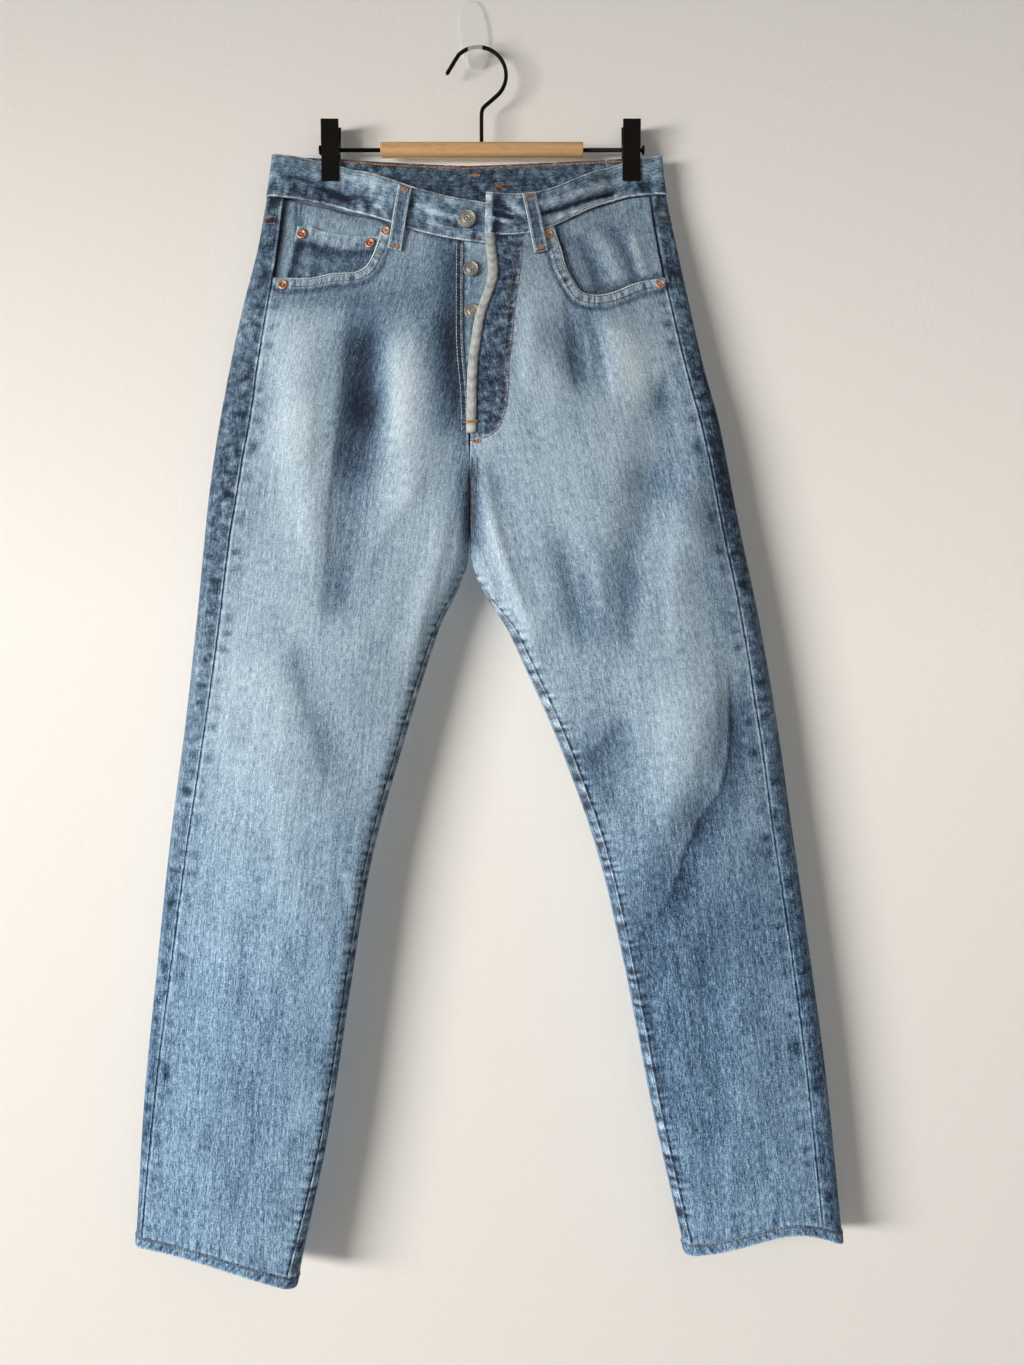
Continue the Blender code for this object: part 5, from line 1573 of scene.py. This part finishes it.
def panel_stitching(half):
    """Stitching of a half's pocket mouth, waistband, inseam, yoke and, on the left, the seat."""
    for inset in STITCH_ROWS["mouth"]:
        path = offset_path(POCKET_MOUTH[half.side], -half.sign * inset)
        path_run(half, "brown", path[1:-1])
    front_end = half.length(-18.0) - 1.0
    back_end = half.length(-18.0, "back")
    for level in STITCH_ROWS["band"]:
        band_run(half, "brown", level, 1.0, front_end)
        band_run(half, "brown", level, -back_end, -1.0)
    band_run(half, "orange", INSIDE_BAND_LEVEL, -back_end, -6.0, lift=-BAND_THICK - 0.3,
             width=0.75, length=3.0)
    low = spaced(310.0, HEM_TOP - 2, 3.0)
    for inset in STITCH_ROWS["inseam"]:
        seam_run(half, "brown", low, panel_end(half, low) + inset)
    for offset in STITCH_ROWS["yoke"]:
        share = spaced(0.02, 0.985, 0.01)
        level = yoke_line(half, share) + offset
        seam_run(half, "orange", level, back_s(half, level, share), 0.25)
    if half.side == "left":
        rise = np.concatenate([spaced(2.0, 72.0, 3.0), spaced(88.0, 292.0, 3.0)])
        for inset in STITCH_ROWS["seat"]:
            seam_run(half, "orange", rise, -half.length(rise, "back") + inset, 0.25)


def fly_stitching(left, right):
    """Curved rows and tacks of the fly, its edges, and the tacks inside the waistband."""
    for inset in STITCH_ROWS["fly_curve"]:
        path = offset_path(J_STITCH, -inset)
        path_run(left, "brown", path[:-2] if inset else path)
    for start, end in INSIDE_TACKS:
        ends = np.array([left.locate(x, z, "back") for x, z in (start, end)])
        share = np.linspace(0, 1, 9)[:, None]
        line = ends[0] * (1 - share) + ends[1] * share
        points, normals, _ = band_surface(left, *line.T, lift=-BAND_THICK - 0.4)
        add_bartack(points, -normals[4], 1.0, "orange")
    seam = spaced(222.0, 292.0, 3.0)
    for inset in STITCH_ROWS["fly_end"]:
        seam_run(left, "brown", seam, left.length(seam) - left.value("inset", seam) - inset)
    edge = spaced(4.0, 196.0, 3.0)
    for inset in STITCH_ROWS["fly_edge"]:
        seam_run(right, "pale", edge, panel_end(right, edge) - inset)
    down, s = left.locate(*FLY_TACK_AT)
    for below, reach, lift in FLY_TACKS:
        places = np.linspace(s - reach, s + reach, 11)
        points, normals = left.surface(down + below + 0 * places, places, lift)
        add_bartack(points, normals[5], 1.1, "orange")


# Hardware.

def turned(name, profile, base, axis, material, sides=48):
    """Solid turned from (radius, height) pairs about an axis that starts at base."""
    rotation = np.array(Vector(axis).to_track_quat("Z", "Y").to_matrix())
    turn = np.arange(sides) * 2 * math.pi / sides
    profile = np.array(profile, float)
    local = np.stack([profile[:, :1] * np.cos(turn), profile[:, :1] * np.sin(turn),
                      profile[:, 1:] + 0 * turn], -1).reshape(-1, 3)
    vertices = local @ rotation.T + np.asarray(base, float)
    ends, quads = ring_faces(len(profile), sides)
    return add_object(name + "_looks", vertices, ends + quads, material)


BUTTON_PROFILE = ((0.40, 0.0), (0.90, 0.10), (0.975, 0.16), (1.0, 0.24), (0.985, 0.32),
                  (0.94, 0.37), (0.88, 0.38), (0.83, 0.345), (0.80, 0.31), (0.775, 0.30),
                  (0.745, 0.33), (0.70, 0.335), (0.67, 0.305), (0.63, 0.30), (0.60, 0.325),
                  (0.55, 0.33), (0.52, 0.305), (0.46, 0.315), (0.42, 0.36), (0.36, 0.375),
                  (0.30, 0.365), (0.26, 0.33), (0.18, 0.33), (0.12, 0.36), (0.03, 0.37))
RIVET_PROFILE = ((0.80, 0.0), (0.97, 0.05), (1.0, 0.11), (0.97, 0.20), (0.88, 0.255),
                 (0.75, 0.26), (0.62, 0.235), (0.54, 0.19), (0.49, 0.10), (0.46, -0.02),
                 (0.34, -0.02), (0.31, 0.06), (0.28, 0.20), (0.22, 0.25), (0.10, 0.22),
                 (0.02, 0.20))


def fastening(name, half, x, z, height, diameter, profile, material, slot):
    """Button or rivet on the form at (x, z), with its profile scaled to the diameter."""
    down, s = half.locate(x, z)
    normal = half.normal(np.array(down), np.array(s))
    base = half.point(down, s) + normal * height
    scaled = [(radius * diameter / 2, rise * diameter / 2) for radius, rise in profile]
    made = turned(name, scaled, base, normal, material)
    stand_in(name)


def fastenings():
    """Waist button, fly buttons and rivets."""
    right = HALVES["right"]
    fastening("waist_button", right, *WAIST_BUTTON_AT, BAND_PROUD + OVERLAY_GAP, WAIST_BUTTON,
              BUTTON_PROFILE, "grey_metal", "button_metal")
    for number, place in enumerate(FLY_BUTTONS_AT, 1):
        fastening(f"fly_button_{number}", right, *place, OVERLAY_GAP - 0.2, FLY_BUTTON,
                  BUTTON_PROFILE, "grey_metal", "button_metal")
    for name, side, x, z, height in RIVETS:
        fastening(name, HALVES[side], x, z, height, RIVET, RIVET_PROFILE, "copper",
                  "rivet_copper")


def tube(name, route, radius, material, sides=20):
    """Round wire along a route of points, with rounded ends."""
    route = np.array(route, float)
    run = np.gradient(route, axis=0)
    run /= np.linalg.norm(run, axis=1, keepdims=True)
    side = np.cross(run, (0.0, 1.0, 0.0))
    side /= np.linalg.norm(side, axis=1, keepdims=True)
    up = np.cross(side, run)
    turn = np.arange(sides) * 2 * math.pi / sides
    around = side[:, None] * np.cos(turn)[:, None] + up[:, None] * np.sin(turn)[:, None]
    sizes = np.full(len(route), float(radius))
    sizes[0] = sizes[-1] = radius * 0.6
    vertices = (route[:, None] + around * sizes[:, None, None]).reshape(-1, 3)
    ends, quads = ring_faces(len(route), sides)
    return add_object(name, vertices, ends + quads, material)


def prism(outline, low, high):
    """Vertices and faces of a (d, z) outline, extruded along x from low to high."""
    count = len(outline)
    vertices = [(x, -d, z) for x in (low, high) for d, z in outline]
    faces = [tuple(range(count)), tuple(range(2 * count - 1, count - 1, -1))]
    faces += [(i, i + count, (i + 1) % count + count, (i + 1) % count) for i in range(count)]
    return vertices, faces


def bevelled(made, width, segments=3):
    """Round the edges of a piece."""
    bevel = made.modifiers.new("rounded", "BEVEL")
    bevel.width = width * MM
    bevel.segments = segments
    bevel.limit_method = "ANGLE"
    made.data.shade_flat()
    made.data.set_sharp_from_angle(angle=math.radians(40))
    made.modifiers.new("even", "WEIGHTED_NORMAL")


def clip_jaw(side, facing):
    """One jaw of a clip: a bent plate with two ears that turn on the rod."""
    out = 1.0 if facing == "front" else -1.0
    top = 7.0 if facing == "front" else 6.5
    inner = curve(((2.9, CLIP_BOTTOM), (2.9, -128.0), (4.5, ROD_Z), (top, CLIP_TOP)), 4.0)
    outer = [(away + JAW_THICK, z) for away, z in inner[::-1]]
    outline = [(HANGER_D + out * away, z) for away, z in (*inner, *outer)]
    middle = CLIP_X[side]
    vertices, faces = prism(outline, middle - CLIP_WIDTH / 2, middle + CLIP_WIDTH / 2)
    name = f"clip_{facing}_{side}"
    ear_out = CLIP_WIDTH / 2 if facing == "front" else CLIP_WIDTH / 2 - EAR_THICK - SEAM_GAP
    near, far = HANGER_D + out * 4.6, HANGER_D - out * 3.4
    ear = curve(((near, ROD_Z - 5.5), (far + out * 2, ROD_Z - 4.6), (far, ROD_Z - 2.0),
                 (far, ROD_Z + 2.0), (far + out * 2, ROD_Z + 4.2), (near, ROD_Z + 4.5)), 1.5)
    for edge in (-ear_out, ear_out - EAR_THICK):
        more, sides = prism([tuple(p) for p in ear], middle + edge, middle + edge + EAR_THICK)
        faces = list(faces) + [tuple(i + len(vertices) for i in face) for face in sides]
        vertices = list(vertices) + more
    made = add_object(name + "_looks", vertices, faces, "black")
    bevelled(made, 0.45)
    stand_in(name)


def clip_spring(side):
    """Coiled spring round the rod, between the ears of a clip."""
    length = CLIP_WIDTH - 4 * EAR_THICK - 4 * SEAM_GAP - 1.4
    turns, wire = 7, 0.62
    t = np.linspace(0, 1, turns * 20 + 1)
    angle = 2 * math.pi * turns * t
    radius = SPRING_RADIUS - wire
    route = np.stack([CLIP_X[side] - length / 2 + length * t,
                      -HANGER_D + radius * np.cos(angle), ROD_Z + radius * np.sin(angle)], -1)
    made = tube(f"clip_spring_{side}_looks", route, wire, "black", 8)
    stand_in("clip_spring_" + side)


def bar(name, end_profile, ends, material, sides):
    """Bar along x on the rod's line, whose two ends mirror each other."""
    start, end = ends
    mirrored = [(radius, end - start - height) for radius, height in end_profile[::-1]]
    return turned(name, [*end_profile, *mirrored], (start, -HANGER_D, ROD_Z), (1, 0, 0), material,
                  sides)


def hanger():
    """Hook, rod, dowel and clips."""
    centre_x, centre_z = HOOK_CENTRE
    angles = np.radians(np.linspace(*HOOK_ARC, 60))
    route = [HOOK_TIP]
    route += list(zip(centre_x + HOOK_RADIUS * np.cos(angles),
                      centre_z + HOOK_RADIUS * np.sin(angles)))
    route += [*HOOK_SHANK, (HOOK_SHANK[-1][0], ROD_Z + DOWEL_RADIUS + SEAM_GAP)]
    route = curve(route, 1.2)
    path = np.stack([route[:, 0], np.full(len(route), -HANGER_D), route[:, 1]], -1)
    hook = tube("hanger_hook_looks", path, WIRE_RADIUS, "black")
    stand_in("hanger_hook")

    stop = END_STOP_RADIUS
    profile = ((stop * 0.6, 0.0), (stop * 0.9, 0.2), (stop, 0.7), (stop, 1.6), (stop * 0.9, 2.1),
               (ROD_RADIUS, END_STOP_THICK))
    rod = bar("hanger_rod", profile, ROD_ENDS, "black", 32)
    stand_in("hanger_rod")

    hole, radius = ROD_RADIUS + SEAM_GAP, DOWEL_RADIUS
    profile = ((hole, 1.0), (hole, 0.0), (radius - 0.9, 0.0), (radius - 0.35, 0.15),
               (radius - 0.1, 0.4), (radius, 0.9))
    dowel = bar("hanger_dowel", profile, DOWEL_ENDS, "beech", 64)
    stand_in("hanger_dowel")
    for side in CLIP_X:
        clip_jaw(side, "front")
        clip_jaw(side, "back")
        clip_spring(side)


def wall_hook():
    """Clear oval plate with an arm that turns up in front of the wire."""
    width, height, thick = PLATE_SIZE
    count = 96
    angle = np.arange(count) * 2 * math.pi / count
    cos, sin = np.cos(angle), np.sin(angle)
    x = width / 2 * np.sign(cos) * np.abs(cos) ** 0.86
    z = height / 2 * np.sign(sin) * np.abs(sin) ** 0.86
    tilt_cos, tilt_sin = math.cos(PLATE_TILT), math.sin(PLATE_TILT)
    across, up = x * tilt_cos - z * tilt_sin, z * tilt_cos + x * tilt_sin
    rings = ((0.97, 0.0), (1.0, 0.35), (1.0, thick * 0.55), (0.975, thick * 0.8),
             (0.93, thick * 0.95), (0.86, thick))
    vertices = [(a * size, -d, b * size) for size, d in rings for a, b in zip(across, up)]
    ends, quads = ring_faces(len(rings), count)
    reach = HOOK_CENTRE[0] - ARM_X[0]
    seat = HOOK_CENTRE[1] + math.sqrt((HOOK_RADIUS - WIRE_RADIUS) ** 2 - reach ** 2) - SEAM_GAP
    lip = HANGER_D + WIRE_RADIUS + SEAM_GAP
    arm = curve(((thick + 0.05, seat), (8.0, seat), (lip - 1.0, seat), (lip, seat + 1.2),
                 (lip, -14.0), (lip + 0.3, -11.2), (lip + 1.4, -10.3), (lip + 2.5, -11.4),
                 (lip + 2.9, -16.0), (lip + 2.8, -22.0), (lip + 1.2, -26.6), (12.0, -29.5),
                 (6.0, -31.5), (thick + 0.05, -32.5)), 1.0)
    more, sides = prism([tuple(p) for p in arm], *ARM_X)
    sides = [tuple(i + len(vertices) for i in face) for face in sides]
    made = add_object("wall_hook_looks", vertices + more, ends + quads + sides, "clear")
    bevelled(made, 0.6)
    stand_in("wall_hook")


# Stage.

def stage_material(name, colour, one_sided):
    """Matt paint with a faint orange-peel texture; a one-sided plane can't be seen from behind."""
    graph = Graph(name)
    place = graph.node("TexCoord").outputs["Object"]
    peel = graph.noise(place, 160.0, 2.0)
    made = graph.finish(colour, 0.9, peel, 0.25, Specular_IOR_Level=0.1)
    if one_sided:
        back = graph.node("NewGeometry").outputs["Backfacing"]
        clear = graph.node("BsdfTransparent").outputs[0]
        mixed = graph.node("MixShader", {0: back, 1: graph.shader.outputs[0], 2: clear})
        output = graph.tree.nodes["Material Output"]
        graph.tree.links.new(mixed.outputs[0], output.inputs[0])
    return made


def plane(name, corners, material):
    """Flat backdrop through four corners, in metres."""
    mesh = bpy.data.meshes.new(name)
    mesh.from_pydata(corners, [], [(0, 1, 2, 3)])
    mesh.materials.append(material)
    made = bpy.data.objects.new(name, mesh)
    bpy.context.collection.objects.link(made)
    return made


def area_light(name, at, target, size, power, colour, spread):
    """Soft square light that faces its target."""
    data = bpy.data.lights.new(name, "AREA")
    data.size = size
    data.energy = power
    data.color = colour
    data.spread = math.radians(spread)
    made = bpy.data.objects.new(name, data)
    made.location = at
    made.rotation_mode = "QUATERNION"
    made.rotation_quaternion = (Vector(target) - Vector(at)).to_track_quat("-Z", "Y")
    bpy.context.collection.objects.link(made)


# The room, in metres: wall and floor, a blind that shades the top of the wall, and the lights,
# as name, place, target, size, power, colour and spread in degrees.
FLOOR_Z = -1.32
WALL_Y = 0.0006
WALL_X = 4.0
WALL_TOP = 2.2
FLOOR_FRONT = -5.0
WALL_PAINT = (0.745, 0.725, 0.695, 1.0)
FLOOR_PAINT = (0.74, 0.73, 0.71, 1.0)
BLIND_CLOTH = (0.3, 0.3, 0.3, 1.0)
BLIND_ENDS = ((-3.3, -0.9), (-1.3, -2.7))
BLIND_Z = (-0.3, 3.0)
LIGHTS = (
    ("window", (-4.6, -3.6, -1.5), (0.0, 0.0, -0.9), 3.0, 345.0, (1.0, 0.965, 0.92), 100.0),
    ("room", (1.6, -2.4, 0.3), (0.0, 0.0, -0.7), 2.4, 8.0, (1.0, 0.97, 0.94), 180.0),
    ("behind", (-0.6, 2.6, 0.1), (0.0, 0.0, -0.7), 2.4, 70.0, (1.0, 1.0, 1.0), 180.0),
)
SKY = (1.0, 0.97, 0.92, 1.0)
SKY_STRENGTH = 0.18


def upright(start, end, low, high):
    """Corners of an upright plane between two (x, y) places."""
    return [(*start, low), (*end, low), (*end, high), (*start, high)]


def stage():
    """Wall, floor, lights and camera."""
    data = bpy.data.cameras.new("camera")
    data.lens = CAMERA_LENS
    data.sensor_width = SENSOR
    data.clip_start = 0.01
    camera = bpy.data.objects.new("camera", data)
    camera.location = CAMERA_AT
    camera.rotation_euler = (math.pi / 2, 0.0, 0.0)
    bpy.context.collection.objects.link(camera)
    bpy.context.scene.camera = camera

    wall = plane("wall", upright((-WALL_X, WALL_Y), (WALL_X, WALL_Y), FLOOR_Z, WALL_TOP),
                 stage_material("wall_paint", WALL_PAINT, True))
    wall.visible_shadow = False
    wall.visible_diffuse = False
    plane("floor", [(-WALL_X, WALL_Y, FLOOR_Z), (-WALL_X, FLOOR_FRONT, FLOOR_Z),
                    (WALL_X, FLOOR_FRONT, FLOOR_Z), (WALL_X, WALL_Y, FLOOR_Z)],
          stage_material("floor_paint", FLOOR_PAINT, False))
    blind = plane("blind", upright(*BLIND_ENDS, *BLIND_Z),
                  stage_material("blind_cloth", BLIND_CLOTH, False))
    blind.visible_camera = False

    world = bpy.data.worlds.new("world")
    world.use_nodes = True
    background = world.node_tree.nodes["Background"]
    background.inputs["Color"].default_value = SKY
    background.inputs["Strength"].default_value = SKY_STRENGTH
    bpy.context.scene.world = world
    for light in LIGHTS:
        area_light(*light)
    bpy.context.scene.view_settings.view_transform = "Standard"


stage()
for form in HALVES.values():
    front_panel(form)
    back_panel(form)
    yoke(form)
    pocket_facing(form)
    hem(form)
    back_pocket(form)
coin_pocket(HALVES["right"])
fly_button_placket(HALVES["right"])
fly_facing(HALVES["left"])
waistband()
for row in LOOPS:
    belt_loop(*row)
for form in HALVES.values():
    panel_stitching(form)
fly_stitching(HALVES["left"], HALVES["right"])
sew()
fastenings()
hanger()
wall_hook()
